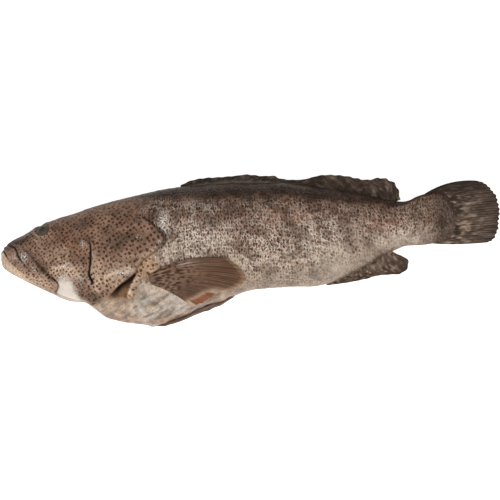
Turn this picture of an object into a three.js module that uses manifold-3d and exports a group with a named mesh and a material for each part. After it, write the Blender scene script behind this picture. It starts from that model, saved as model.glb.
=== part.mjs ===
// A whole raw grouper lying on its right flank, as it lies on a board or on ice.
//
// Frame: +X runs from the snout towards the tail, +Y from the belly towards the back, and +Z up,
// out of the left flank. The origin is on the board, under the middle of the fish's outline.
//
// The fish is one closed solid with its fins grown on. Only the two eyeballs are pieces of their own,
// each loose in its socket. Every place on the fish is given as [along, high], in per cent of the
// total length: along from the tip of the snout, high above the straight line that joins the snout
// to the middle of the tail.
import * as THREE from "three";
import { mergeVertices } from "three/addons/utils/BufferGeometryUtils.js";
import Module from "manifold-3d";

const wasm = await Module();
wasm.setup();

// ---- Driving dimensions, in millimetres ----
const TOTAL_LENGTH = 600;
const EYE_RADIUS = 8.4; // across its face
const EYE_HALF_DEPTH = 5.4; // along its line of sight
const EYE_SINK = 2.8; // from the skin down to its middle
const SOCKET_GAP = 0.3;
const FIN_ROOT_THICKNESS = 4;
const FIN_EDGE_THICKNESS = 1.8;

// ---- How finely the surfaces are cut into triangles ----
const RINGS = 46;
const AROUND = 34;
const RING_CROWDING = 1.5; // above 1, the rings stand closer together towards the snout
const SLIT_STEPS = 10;
const SLIT_SIDES = 6;
const STEPS_PER_RAY = 2;

const PER_CENT = TOTAL_LENGTH / 100;

// ---- The trunk and head without fins ----
// [along, top of the back, lowest line of the belly, level of the widest girth, half the width]
const BODY = [
  [0, -0.3, -0.3, -0.3, 0],
  [0.25, 0.9, -1.55, -0.3, 0.85],
  [0.7, 1.7, -2.2, -0.3, 1.4],
  [1.4, 2.45, -2.8, -0.3, 1.95],
  [2.5, 3.3, -3.6, -0.4, 2.6],
  [5, 4.25, -5.2, -0.6, 3.45],
  [7.5, 5.45, -6.7, -0.9, 4.1],
  [10, 6.35, -8.05, -1.1, 4.7],
  [13, 7.1, -9.65, -1.3, 5.3],
  [16, 7.6, -10.3, -1.5, 5.75],
  [17.5, 8.05, -11.5, -1.6, 6],
  [20, 8.65, -13.6, -1.8, 6.4],
  [25, 9.5, -15.2, -2.1, 7.05],
  [30, 10.25, -16, -2.3, 7.4],
  [33, 10.55, -15.7, -2.2, 7.45],
  [38, 10.8, -14.3, -1.8, 7.4],
  [42, 10.75, -13.1, -1.3, 7.2],
  [46, 10.6, -11.5, -0.9, 6.95],
  [50, 10.35, -10.75, -0.8, 6.65],
  [56, 9.85, -10.9, -1, 6.1],
  [62, 8.75, -11.25, -1.3, 5.35],
  [68, 7.3, -9.8, -1.5, 4.4],
  [73, 5.9, -7.75, -1.3, 3.45],
  [77, 4.7, -6, -1, 2.75],
  [81, 3.95, -5, -0.6, 2.1],
  [84, 4.85, -5, -0.2, 1.5],
  [87, 5.3, -4.8, 0, 0.8],
  [89.5, 4.7, -4.1, 0.1, 0.35],
  [90.8, 2.8, -2.6, 0, 0.2],
];
const BODY_END = BODY.at(-1)[0];

// How high the fish's middle plane lies above the board. The limp body follows the board to its tail.
// [along, height]
const LIE = [
  [0, 5.6],
  [10, 6.3],
  [20, 6.75],
  [30, 6.95],
  [38, 6.95],
  [46, 6.5],
  [56, 5.65],
  [62, 4.9],
  [68, 4],
  [73, 3.1],
  [77, 2.45],
  [81, 1.9],
  [85, 1.4],
  [89, 0.95],
  [94, 0.5],
  [100, 0.25],
];

// A girth is a superellipse: 2 is an ellipse, and more is fuller.
const BACK_FULLNESS = 2.1;
const BELLY_FULLNESS = 2.2;

// ---- The head's plates, slits and pits ----
// Each plate's outline, and each slit, as seen from the flank.
const GILL_COVER = [
  [26, 7], [27.8, 5.5], [29.5, 4.7], [31.2, 3.15], [32.8, 1.4], [32.9, 0.6], [32, -0.65], [29.5, -2.2],
  [27.6, -3.75], [26.2, -5.55], [23.9, -7.1], [21.9, -8.7], [19, -10.25], [16.5, -11.2], [12, -10.5],
  [12, 5], [20, 9],
];
const CHEEK = [
  [17.2, 4.4], [18.15, 2.3], [18.25, -0.1], [18, -2.5], [17.55, -4.7], [18.1, -6.2], [18.15, -6.8],
  [17.7, -7.5], [16.6, -7.8], [15.2, -7.5], [13.8, -7], [10, -6], [9, -3], [11, 4],
];
const UPPER_JAW = [
  [2.6, 2.8], [4.2, 1.9], [5.9, 0.5], [6.6, -0.5], [7.65, -2.2], [9.4, -4.35], [10.7, -5.65],
  [10.95, -6.25], [10.85, -6.9], [10.3, -7.5], [9.4, -7.9], [7.6, -5.6], [6.8, -3.9], [5.2, -2],
  [4.15, -0.5], [3.65, 0.95], [2.9, 1.9],
];
const GILL_COVER_LIFT = 0.55;
const CHEEK_LIFT = 0.35;
const UPPER_JAW_LIFT = 0.3;
const PLATE_ROOT = 0.12; // how far a plate's hidden margin dips under the skin
const THROAT_HALF_DEPTH = 1; // how far above the lowest line of the body the plates are at full height

const GILL_SLIT = {
  radius: 3.2,
  points: [[27.7, -3.95], [26.3, -5.8], [24, -7.4], [21.9, -9], [18.8, -10.6]],
};
const CHEEK_SLIT = {
  radius: 1.2,
  points: [[18.25, 2.3], [18.35, -0.1], [18.1, -2.5], [17.65, -4.7], [18.2, -6.2], [18.25, -6.9]],
};
const MOUTH_SLIT = {
  radius: 1.3,
  points: [[0.6, 1.75], [1.1, 0.8], [1.85, -0.65], [3.7, -2.6], [5.1, -4.1]],
};
const LIP_GROOVE = {
  radius: 0.9,
  points: [[2.2, 2.3], [3.25, 1.8], [3.8, 0.15], [4.5, -1.1], [5.9, -2.85]],
};
const EYE = [9.02, 4.87];
const NOSTRILS = [[6.64, 3.99], [5.9, 3.5]];
const NOSTRIL_RADIUS = 1.3;

// ---- Fins ----
// A fin's rays run from its root line, past its bend line, to its margin line, all three given from
// the first ray to the last. The roots lie inside the body.
const DORSAL_FIN = {
  rays: 26,
  steps: 5,
  root: [[36.2, 9.8], [42, 9.9], [49, 9.5], [56, 8.8], [62, 7.5], [68, 6], [74, 4.4], [77.6, 3.6]],
  bend: [[36.8, 10.6], [43, 11.1], [50, 10.9], [57, 9.9], [63.5, 9.2], [70, 8.4], [76, 6.8], [79, 4]],
  margin: [
    [36.9, 11.2], [39, 11.9], [41.5, 12.2], [47, 12], [50.4, 12.1], [53.5, 11.5], [55.5, 11.4],
    [57.2, 10.6], [61, 10.1], [64.5, 10.65], [68, 10.45], [72, 9.5], [74.4, 9], [76.5, 9.25],
    [78.5, 8.7], [79.8, 7.5], [80.3, 5.8], [80.3, 4.4],
  ],
};
const ANAL_FIN = {
  rays: 11,
  steps: 4,
  root: [[62.8, -10], [66, -9.5], [70, -8.1], [74, -6.4], [76.8, -5]],
  bend: [[63.4, -10.9], [68.5, -10.5], [73, -9.6], [76.4, -8.3], [77.9, -6.2]],
  margin: [
    [64, -11.35], [67.6, -11.2], [71.9, -10.8], [74.2, -10.35], [77, -10.4], [79, -10.45],
    [80.3, -9.6], [80.85, -8.4], [80.4, -7.4], [79, -6.6],
  ],
};
const TAIL_FIN = {
  rays: 17,
  steps: 6,
  root: [[82.4, 3.4], [85.6, 2.2], [86.4, 0], [85.6, -2.5], [83.4, -4.4]],
  bend: [[88.8, 8.1], [91.6, 3.8], [92.4, 0.2], [91.6, -3], [88.5, -5.8]],
  margin: [
    [96.2, 6.75], [97.4, 6.2], [98.6, 5], [99.6, 3.5], [100, 1.8], [100, -0.2], [99.7, -2], [99.2, -3.7],
    [98.3, -5.3], [97, -5.75],
  ],
};
const PECTORAL_FIN = {
  rays: 17,
  steps: 5,
  root: [[29.2, -6.1], [29.2, -6.9], [29.6, -7.8]],
  bend: [[36.6, -2.2], [38, -5.6], [37.6, -8.4], [33.8, -9.8]],
  margin: [
    [45.2, -4.3], [46.8, -5.9], [48, -7.6], [48.2, -8.7], [46.7, -9.8], [44.3, -10.3], [41.8, -10.9],
    [39.6, -12.1], [37, -12.8],
  ],
};
// The pelvic fin lies along the belly, so its places are [along, distance from the middle plane].
const PELVIC_FIN = {
  rays: 6,
  steps: 4,
  root: [[28.8, 0.6], [29.4, 1.7]],
  bend: [[36, 0.3], [36, 1.8], [34.5, 2.8]],
  margin: [[43.6, 0.4], [45.7, 0.9], [44.8, 1.7], [42.4, 2.4], [39.4, 2.9]],
};
const MEMBRANE_SHARE = 0.5; // a membrane's thickness at the fin's root, as a share of its ray's
const FIN_ROOT_DEPTH = 0.35; // how far under the skin a fin that is pressed to the body reaches
const FIN_EMERGES = 0.25; // the share of such a fin's length at which it is fully out of the skin

// ---- Curves ----

const clamp = (x, low, high) => Math.min(high, Math.max(low, x));

// 0 before start, 1 after end, and smooth between them.
function ease(x, start, end) {
  const t = clamp((x - start) / (end - start), 0, 1);
  return t * t * (3 - 2 * t);
}

// The smooth function through one column of a table's rows, with no overshoot between two rows.
function column(rows, index) {
  const xs = rows.map((row) => row[0]);
  const ys = rows.map((row) => row[index]);
  const slopes = xs.slice(1).map((x, i) => (ys[i + 1] - ys[i]) / (x - xs[i]));
  const tangents = ys.map((_, i) => {
    const before = slopes[Math.max(i - 1, 0)];
    const after = slopes[Math.min(i, slopes.length - 1)];
    return before * after > 0 ? (2 * before * after) / (before + after) : 0;
  });
  return (x) => {
    const last = xs.length - 2;
    let i = xs.findIndex((start, k) => k <= last && x < xs[k + 1]);
    if (i < 0) i = last;
    const width = xs[i + 1] - xs[i];
    const t = clamp((x - xs[i]) / width, 0, 1);
    const rise = t * t * (3 - 2 * t);
    const start = t * (1 - t) * (1 - t) * tangents[i];
    const end = t * t * (t - 1) * tangents[i + 1];
    return ys[i] * (1 - rise) + ys[i + 1] * rise + width * (start + end);
  };
}

// A smooth line through [along, high] points, as a function of the share of its length.
function smoothLine(points) {
  const spline = new THREE.SplineCurve(points.map(([x, y]) => new THREE.Vector2(x, y)));
  return (share) => spline.getPointAt(share);
}

const backLine = column(BODY, 1);
const bellyLine = column(BODY, 2);
const girthLevel = column(BODY, 3);
const halfWidth = column(BODY, 4);
const lieHeight = column(LIE, 1);

// How far a girth's edge lies from its centre, of 1, where the other coordinate is share, of 1.
function girthShare(share, fullness) {
  return (1 - Math.min(1, Math.abs(share)) ** fullness) ** (1 / fullness);
}

// How far the flank stands off the middle plane at [along, high].
function flankOffset(along, high) {
  const level = girthLevel(along);
  const isBack = high >= level;
  const reach = isBack ? backLine(along) - level : level - bellyLine(along);
  const share = girthShare((high - level) / reach, isBack ? BACK_FULLNESS : BELLY_FULLNESS);
  return halfWidth(along) * share;
}

// The height of the belly's skin, offset from the middle plane.
function bellySkin(along, offset) {
  const level = girthLevel(along);
  return level - (level - bellyLine(along)) * girthShare(offset / halfWidth(along), BELLY_FULLNESS);
}

// A place on the fish, in per cent, as a point in millimetres. side is 1 on the left and -1 on the right.
function place(along, high, offset, side = 1) {
  return new THREE.Vector3(along, high, lieHeight(along) + side * offset).multiplyScalar(PER_CENT);
}

// ---- Solids ----

function signedVolume(points, faces) {
  const vectors = faces.map(([a, b, c]) => points[a].dot(points[b].clone().cross(points[c])));
  return vectors.reduce((sum, part) => sum + part, 0) / 6;
}

function solidFrom(geometry) {
  const bare = geometry.clone().deleteAttribute("normal").deleteAttribute("uv");
  const merged = mergeVertices(bare, 1e-4);
  const mesh = new wasm.Mesh({
    numProp: 3,
    vertProperties: merged.attributes.position.array,
    triVerts: new Uint32Array(merged.index.array),
  });
  return new wasm.Manifold(mesh);
}

function geometryFrom(solid) {
  const mesh = solid.getMesh();
  const geometry = new THREE.BufferGeometry();
  geometry.setAttribute("position", new THREE.BufferAttribute(new Float32Array(mesh.vertProperties), 3));
  geometry.setIndex(Array.from(mesh.triVerts));
  geometry.computeVertexNormals();
  return geometry;
}

// A closed skin of three-cornered faces, turned to face outwards.
function skinSolid(points, faces) {
  const isInsideOut = signedVolume(points, faces) < 0;
  const geometry = new THREE.BufferGeometry().setFromPoints(points);
  geometry.setIndex(faces.flatMap(([a, b, c]) => (isInsideOut ? [a, c, b] : [a, b, c])));
  return solidFrom(geometry);
}

// The body, with its skin lifted outwards by lift(along, high) per cent of the total length.
function bodySolid(lift = () => 0) {
  const rings = [];
  for (let i = 1; i <= RINGS; i += 1) {
    const along = BODY_END * (i / RINGS) ** RING_CROWDING;
    rings.push(girth(along, lift));
  }
  const tip = place(0, girthLevel(0), 0);
  const tail = place(BODY_END, girthLevel(BODY_END), 0);
  const points = [tip, ...rings.flat(), tail];
  const at = (ring, k) => 1 + ring * AROUND + (k % AROUND);
  const faces = [];
  for (let k = 0; k < AROUND; k += 1) {
    faces.push([0, at(0, k + 1), at(0, k)]);
    for (let ring = 0; ring + 1 < RINGS; ring += 1) {
      faces.push([at(ring, k), at(ring, k + 1), at(ring + 1, k + 1)]);
      faces.push([at(ring, k), at(ring + 1, k + 1), at(ring + 1, k)]);
    }
    faces.push([at(RINGS - 1, k), at(RINGS - 1, k + 1), points.length - 1]);
  }
  return skinSolid(points, faces);
}

function girth(along, lift) {
  const level = girthLevel(along);
  const ring = [];
  for (let k = 0; k < AROUND; k += 1) {
    const angle = (2 * Math.PI * k) / AROUND;
    const [up, out] = [Math.cos(angle), Math.sin(angle)];
    const reach = up >= 0 ? backLine(along) - level : level - bellyLine(along);
    const power = 2 / (up >= 0 ? BACK_FULLNESS : BELLY_FULLNESS);
    const high = level + reach * Math.sign(up) * Math.abs(up) ** power;
    const offset = halfWidth(along) * Math.abs(out) ** power;
    const lifted = lift(along, high);
    ring.push(place(along, high + lifted * up, offset + lifted * Math.abs(out), Math.sign(out)));
  }
  return ring;
}

// A slab between two grids of points that have the same number of rows and columns.
function slabSolid(upper, lower) {
  const [rows, columns] = [upper.length, upper[0].length];
  const above = (i, j) => i * columns + j;
  const below = (i, j) => rows * columns + above(i, j);
  const faces = [];
  const addSquare = (a, b, c, d) => faces.push([a, b, c], [a, c, d]);
  for (let i = 0; i + 1 < rows; i += 1) {
    for (let j = 0; j + 1 < columns; j += 1) {
      addSquare(above(i, j), above(i + 1, j), above(i + 1, j + 1), above(i, j + 1));
      addSquare(below(i, j), below(i, j + 1), below(i + 1, j + 1), below(i + 1, j));
    }
    addSquare(above(i, 0), below(i, 0), below(i + 1, 0), above(i + 1, 0));
    addSquare(above(i + 1, columns - 1), below(i + 1, columns - 1), below(i, columns - 1), above(i, columns - 1));
  }
  for (let j = 0; j + 1 < columns; j += 1) {
    addSquare(above(0, j + 1), below(0, j + 1), below(0, j), above(0, j));
    addSquare(above(rows - 1, j), below(rows - 1, j), below(rows - 1, j + 1), above(rows - 1, j + 1));
  }
  return skinSolid([...upper.flat(), ...lower.flat()], faces);
}

// ---- The head's details ----

// What lies inside an outline, all the way through the fish.
function throughOutline(points) {
  const outline = points.map(([along, high]) => new THREE.Vector2(along, high).multiplyScalar(PER_CENT));
  const depth = TOTAL_LENGTH;
  const geometry = new THREE.ExtrudeGeometry(new THREE.Shape(outline), { depth, bevelEnabled: false });
  return solidFrom(geometry.translate(0, 0, -depth / 2));
}

// A bony plate that stands proud of the head on both flanks, more so towards its free edge. It sinks
// into the skin before it comes round to the throat.
function headPlate(outline, lift) {
  const proud = bodySolid((along, high) => {
    const besideThroat = ease(high - bellyLine(along), THROAT_HALF_DEPTH / 2, THROAT_HALF_DEPTH);
    return lift(along, high) * besideThroat - PLATE_ROOT;
  });
  return proud.intersect(throughOutline(outline));
}

function gillCoverLift(along, high) {
  return GILL_COVER_LIFT * ease(along - 0.8 * high, 20, 27);
}

function cheekLift(along, high) {
  return CHEEK_LIFT * ease(along, 11, 16) * (1 - ease(high, 2, 4.4));
}

function upperJawLift(along) {
  return UPPER_JAW_LIFT * ease(along, 2.4, 5);
}

// A narrow slit that follows a line on one flank.
function slit({ points, radius }, side) {
  const route = smoothLine(points);
  const path = [];
  for (let i = 0; i <= SLIT_STEPS; i += 1) {
    const { x, y } = route(i / SLIT_STEPS);
    path.push(place(x, y, flankOffset(x, y), side));
  }
  const section = [];
  for (let k = 0; k < SLIT_SIDES; k += 1) {
    const angle = (2 * Math.PI * k) / SLIT_SIDES;
    section.push(new THREE.Vector2(radius * Math.cos(angle), radius * Math.sin(angle)));
  }
  const extrudePath = new THREE.CatmullRomCurve3(path);
  const geometry = new THREE.ExtrudeGeometry(new THREE.Shape(section), { steps: SLIT_STEPS, extrudePath });
  return solidFrom(geometry);
}

// Which way the skin of one flank faces.
function skinNormal(along, high, side) {
  const step = 0.05;
  const at = (x, y) => place(x, y, flankOffset(x, y), side);
  const forwards = at(along + step, high).sub(at(along - step, high));
  const upwards = at(along, high + step).sub(at(along, high - step));
  return forwards.cross(upwards).multiplyScalar(side).normalize();
}

// An eyeball, or the room for it, swollen by extra.
function eyeball(side, extra) {
  const [along, high] = EYE;
  const normal = skinNormal(along, high, side);
  const centre = place(along, high, flankOffset(along, high), side).addScaledVector(normal, -EYE_SINK);
  const geometry = new THREE.SphereGeometry(1, 18, 10).rotateX(Math.PI / 2);
  geometry.scale(EYE_RADIUS + extra, EYE_RADIUS + extra, EYE_HALF_DEPTH + extra);
  geometry.applyQuaternion(new THREE.Quaternion().setFromUnitVectors(new THREE.Vector3(0, 0, 1), normal));
  return solidFrom(geometry.translate(centre.x, centre.y, centre.z));
}

function nostril([along, high], side) {
  const { x, y, z } = place(along, high, flankOffset(along, high), side);
  return solidFrom(new THREE.IcosahedronGeometry(NOSTRIL_RADIUS, 1).translate(x, y, z));
}

// ---- Fins ----

// A thin fin. face(towards, x, y, thickness, out) is the point of its upper face, where towards is 1, or
// of its lower face, where towards is -1. out is the share of the way from the root to the margin.
function finSolid({ rays, steps, root, bend, margin }, face) {
  const [rootLine, bendLine, marginLine] = [root, bend, margin].map(smoothLine);
  const columns = (rays - 1) * STEPS_PER_RAY;
  const grid = (towards) => {
    const rows = [];
    for (let k = 0; k <= columns; k += 1) {
      const share = k / columns;
      const ray = new THREE.QuadraticBezierCurve(rootLine(share), bendLine(share), marginLine(share));
      const row = [];
      for (let j = 0; j <= steps; j += 1) {
        const out = j / steps;
        const { x, y } = ray.getPoint(out);
        const membrane = k % STEPS_PER_RAY === 0 ? 1 : THREE.MathUtils.lerp(MEMBRANE_SHARE, 1, out);
        const thickness = THREE.MathUtils.lerp(FIN_ROOT_THICKNESS, FIN_EDGE_THICKNESS, out) * membrane;
        row.push(face(towards, x, y, thickness, out));
      }
      rows.push(row);
    }
    return rows;
  };
  return slabSolid(grid(1), grid(-1));
}

// A fin that stands in the fish's middle plane.
function middleFin(fin) {
  return finSolid(fin, (towards, x, y, thickness) => {
    const point = place(x, y, 0);
    point.z += (towards * thickness) / 2;
    return point;
  });
}

// How far a face of a fin that is pressed to the body stands off the skin, in per cent. The upper face
// comes out of the skin near the root, and the lower one stays under it.
function riseFromSkin(towards, thickness, out) {
  if (towards < 0) return -FIN_ROOT_DEPTH;
  return THREE.MathUtils.lerp(-FIN_ROOT_DEPTH / 2, thickness / PER_CENT, ease(out, 0, FIN_EMERGES));
}

function pectoralFin(side) {
  return finSolid(PECTORAL_FIN, (towards, x, y, thickness, out) => {
    return place(x, y, flankOffset(x, y) + riseFromSkin(towards, thickness, out), side);
  });
}

function pelvicFin(side) {
  return finSolid(PELVIC_FIN, (towards, x, y, thickness, out) => {
    return place(x, bellySkin(x, y) - riseFromSkin(towards, thickness, out), y, side);
  });
}

// ---- The whole fish ----

function board() {
  const size = 2 * TOTAL_LENGTH;
  return solidFrom(new THREE.BoxGeometry(size, size, size).translate(TOTAL_LENGTH / 2, 0, -size / 2));
}

function fishSolid() {
  const sides = [1, -1];
  const plates = [
    headPlate(GILL_COVER, gillCoverLift),
    headPlate(CHEEK, cheekLift),
    headPlate(UPPER_JAW, upperJawLift),
  ];
  const fins = [middleFin(DORSAL_FIN), middleFin(ANAL_FIN), middleFin(TAIL_FIN)];
  const added = [...plates, ...fins, ...sides.map(pectoralFin), ...sides.map(pelvicFin)];
  const slits = [GILL_SLIT, CHEEK_SLIT, MOUTH_SLIT, LIP_GROOVE];
  const removed = sides.flatMap((side) => [
    ...slits.map((one) => slit(one, side)),
    ...NOSTRILS.map((one) => nostril(one, side)),
    eyeball(side, SOCKET_GAP),
  ]);
  const whole = added.reduce((solid, piece) => solid.add(piece), bodySolid());
  return removed.reduce((solid, piece) => solid.subtract(piece), whole).subtract(board());
}

const skin = new THREE.MeshStandardMaterial({ color: 0x7d6656, roughness: 0.45 });
const eye = new THREE.MeshStandardMaterial({ color: 0x4c4a4a, roughness: 0.15 });

function node(name, solid, material) {
  const mesh = new THREE.Mesh(geometryFrom(solid), material);
  mesh.name = name;
  return mesh;
}

const part = new THREE.Group();
part.name = "grouper_on_its_side";
part.add(node("grouper", fishSolid(), skin));
part.add(node("eye_left", eyeball(1, 0), eye));
part.add(node("eye_right", eyeball(-1, 0), eye));

// The origin goes under the middle of the fish's outline.
const middle = new THREE.Box3().setFromObject(part).getCenter(new THREE.Vector3());
part.position.set(-middle.x, -middle.y, 0);

export default part;
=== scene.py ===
import math

import bpy
import numpy as np
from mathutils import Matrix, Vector


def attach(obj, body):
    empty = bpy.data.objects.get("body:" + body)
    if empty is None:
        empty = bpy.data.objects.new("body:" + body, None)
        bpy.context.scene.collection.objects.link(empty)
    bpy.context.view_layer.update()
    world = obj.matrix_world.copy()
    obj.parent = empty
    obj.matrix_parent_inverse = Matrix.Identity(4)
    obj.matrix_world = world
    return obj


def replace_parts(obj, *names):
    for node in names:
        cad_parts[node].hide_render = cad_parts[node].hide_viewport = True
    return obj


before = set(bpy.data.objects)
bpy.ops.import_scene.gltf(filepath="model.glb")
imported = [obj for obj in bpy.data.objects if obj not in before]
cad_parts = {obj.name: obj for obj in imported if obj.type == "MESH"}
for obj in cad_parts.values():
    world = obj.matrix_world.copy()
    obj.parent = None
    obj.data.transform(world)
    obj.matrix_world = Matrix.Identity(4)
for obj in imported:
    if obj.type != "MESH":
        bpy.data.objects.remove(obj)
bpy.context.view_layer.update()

# A whole raw grouper on its right flank. As in the part's own source, a place on the fish is given in
# per cent of its total length: along from the snout, and high above the line from the snout to the
# middle of the tail. Offset is the distance from the fish's middle plane, above 0 on the left flank.
PER_CENT = 0.006
MM_PER_CENT = 1000 * PER_CENT
MM = 0.001
TINY = 1e-12
SNOUT_X = -0.300127
AXIS_Y = 0.012435
LEFT = 1
RIGHT = -1

# ---- The trunk and head without fins ----
# [along, top of the back, lowest line of the belly, level of the widest girth, half the width]
BODY = [
    [0, -0.3, -0.3, -0.3, 0],
    [0.25, 0.9, -1.55, -0.3, 0.85],
    [0.7, 1.7, -2.2, -0.3, 1.4],
    [1.4, 2.45, -2.8, -0.3, 1.95],
    [2.5, 3.3, -3.6, -0.4, 2.6],
    [5, 4.25, -5.2, -0.6, 3.45],
    [7.5, 5.45, -6.7, -0.9, 4.1],
    [10, 6.35, -8.05, -1.1, 4.7],
    [13, 7.1, -9.65, -1.3, 5.3],
    [16, 7.6, -10.3, -1.5, 5.75],
    [17.5, 8.05, -11.5, -1.6, 6],
    [20, 8.65, -13.6, -1.8, 6.4],
    [25, 9.5, -15.2, -2.1, 7.05],
    [30, 10.25, -16, -2.3, 7.4],
    [33, 10.55, -15.7, -2.2, 7.45],
    [38, 10.8, -14.3, -1.8, 7.4],
    [42, 10.75, -13.1, -1.3, 7.2],
    [46, 10.6, -11.5, -0.9, 6.95],
    [50, 10.35, -10.75, -0.8, 6.65],
    [56, 9.85, -10.9, -1, 6.1],
    [62, 8.75, -11.25, -1.3, 5.35],
    [68, 7.3, -9.8, -1.5, 4.4],
    [73, 5.9, -7.75, -1.3, 3.45],
    [77, 4.7, -6, -1, 2.75],
    [81, 3.95, -5, -0.6, 2.1],
    [84, 4.85, -5, -0.2, 1.5],
    [87, 5.3, -4.8, 0, 0.8],
    [89.5, 4.7, -4.1, 0.1, 0.35],
    [90.8, 2.8, -2.6, 0, 0.2],
]
BODY_END = BODY[-1][0]
# [along, height of the middle plane above the board]
LIE = [
    [0, 5.6], [10, 6.3], [20, 6.75], [30, 6.95], [38, 6.95], [46, 6.5], [56, 5.65], [62, 4.9],
    [68, 4], [73, 3.1], [77, 2.45], [81, 1.9], [85, 1.4], [89, 0.95], [94, 0.5], [100, 0.25],
]
BACK_FULLNESS = 2.1
BELLY_FULLNESS = 2.2

# ---- Lines on the head and shoulder, as seen from the flank ----
# The rear edges of the gill cover, the cheek plate and the upper jaw, the mouth, the groove above the lip,
# the lower jaw's rim and the crease over the breast fin.
LINES = {
    "gill": [
        [26, 7], [27.8, 5.5], [28.6, 5.2], [29.5, 4.7], [30.45, 4], [31.2, 3.15], [32.25, 2.25],
        [32.8, 1.4], [32.9, 0.6], [32.6, -0.1], [32, -0.65], [30.9, -1.35], [29.5, -2.2], [28.4, -2.9],
        [27.6, -3.75], [26.9, -4.65], [26.2, -5.55], [25.1, -6.45], [23.9, -7.1], [22.85, -7.8],
        [21.9, -8.7], [21, -9.4], [19, -10.25], [16.5, -11.2],
    ],
    "cheek": [
        [17.9, 3.4], [18.15, 2.3], [18.2, 1.2], [18.25, -0.1], [18.2, -1.3], [18, -2.5], [17.7, -3.9],
        [17.55, -4.7], [17.8, -5.5], [18.1, -6.2], [18.15, -6.8], [17.7, -7.5], [16.6, -7.8], [15.2, -7.5],
        [13.8, -7],
    ],
    "jaw": [
        [3.1, 2.6], [4.2, 1.9], [5.1, 1.15], [5.9, 0.5], [6.6, -0.5], [7.1, -1.35], [7.65, -2.2],
        [8.35, -3.05], [9.4, -4.35], [10.1, -5.15], [10.7, -5.65], [10.95, -6.25], [10.85, -6.9],
        [10.3, -7.5], [9.6, -7.9],
    ],
    "mouth": [
        [0.7, 1.6], [1.1, 0.8], [1.45, 0], [1.85, -0.65], [2.6, -1.5], [3.7, -2.6], [5.1, -4.1],
        [6.6, -5.4],
    ],
    "lip": [
        [2.2, 2.3], [3.25, 1.8], [3.65, 0.95], [3.8, 0.15], [4.15, -0.5], [4.5, -1.1], [5.2, -2],
        [5.9, -2.85], [6.8, -3.9],
    ],
    "rim": [[10.1, -7.6], [11.25, -8.25], [12.35, -8.95], [13.5, -9.45], [15, -9.7]],
    "crease": [
        [28.6, -6.5], [29.5, -6.05], [30.55, -5.65], [31.55, -5.3], [32.8, -4.85], [34, -4.5], [36, -4],
    ],
}
SHOULDER_FOLD = [
    [25.6, -11], [26.7, -8.7], [27.3, -6.7], [30.2, -5.8], [31.9, -3.9], [32.4, -2.6], [32.3, -0.7],
]
GILL_FLESH_EDGE = [[24.5, -10.3], [25.1, -8.6], [25.6, -7.65], [26.6, -6.1]]
EYE = [9.02, 4.87]
EYE_RADIUS = 0.0084
EYE_HALF_DEPTH = 0.0054
EYE_SINK = 0.0028
NOSTRILS = [[6.64, 3.99], [5.9, 3.5]]

# ---- Fins: root, bend and margin lines from the first ray to the last ----
DORSAL_FIN = {
    "rays": 26,
    "root": [[36.2, 9.8], [42, 9.9], [49, 9.5], [56, 8.8], [62, 7.5], [68, 6], [74, 4.4], [77.6, 3.6]],
    "bend": [[36.8, 10.6], [43, 11.1], [50, 10.9], [57, 9.9], [63.5, 9.2], [70, 8.4], [76, 6.8], [79, 4]],
    "margin": [
        [36.9, 11.2], [39, 11.9], [41.5, 12.2], [47, 12], [50.4, 12.1], [53.5, 11.5], [55.5, 11.4],
        [57.2, 10.6], [61, 10.1], [64.5, 10.65], [68, 10.45], [72, 9.5], [74.4, 9], [76.5, 9.25],
        [78.5, 8.7], [79.8, 7.5], [80.3, 5.8], [80.3, 4.4],
    ],
}
ANAL_FIN = {
    "rays": 11,
    "root": [[62.8, -10], [66, -9.5], [70, -8.1], [74, -6.4], [76.8, -5]],
    "bend": [[63.4, -10.9], [68.5, -10.5], [73, -9.6], [76.4, -8.3], [77.9, -6.2]],
    "margin": [
        [64, -11.35], [67.6, -11.2], [71.9, -10.8], [74.2, -10.35], [77, -10.4], [79, -10.45],
        [80.3, -9.6], [80.85, -8.4], [80.4, -7.4], [79, -6.6],
    ],
}
TAIL_FIN = {
    "rays": 17,
    "root": [[82.4, 3.4], [85.6, 2.2], [86.4, 0], [85.6, -2.5], [83.4, -4.4]],
    "bend": [[88.8, 8.1], [91.6, 3.8], [92.4, 0.2], [91.6, -3], [88.5, -5.8]],
    "margin": [
        [96.2, 6.75], [97.4, 6.2], [98.6, 5], [99.6, 3.5], [100, 1.8], [100, -0.2], [99.7, -2],
        [99.2, -3.7], [98.3, -5.3], [97, -5.75],
    ],
}
PECTORAL_FIN = {
    "rays": 17,
    "root": [[29.2, -6.1], [29.2, -6.9], [29.6, -7.8]],
    "bend": [[36.6, -2.2], [38, -5.6], [37.6, -8.4], [33.8, -9.8]],
    "margin": [
        [45.2, -4.3], [46.8, -5.9], [48, -7.6], [48.2, -8.7], [46.7, -9.8], [44.3, -10.3],
        [41.8, -10.9], [39.6, -12.1], [37, -12.8],
    ],
}
PELVIC_FIN = {
    "rays": 6,
    "root": [[28.8, 0.6], [29.4, 1.7]],
    "bend": [[36, 0.3], [36, 1.8], [34.5, 2.8]],
    "margin": [[43.6, 0.4], [45.7, 0.9], [44.8, 1.7], [42.4, 2.4], [39.4, 2.9]],
}


# ---- Curves ----
NOISE_CELLS = 64


def ease(x, start, end):
    """0 at the start and 1 at the end, smooth between them. The end may be the lower of the two."""
    t = np.clip((x - start) / (end - start), 0, 1)
    return t * t * (3 - 2 * t)


def span(x, start, full, fall, end):
    """1 from full to fall, and 0 before the start and past the end."""
    return ease(x, start, full) * ease(x, end, fall)


def bell(x, width):
    return np.exp(-(x / width) ** 2)


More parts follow.
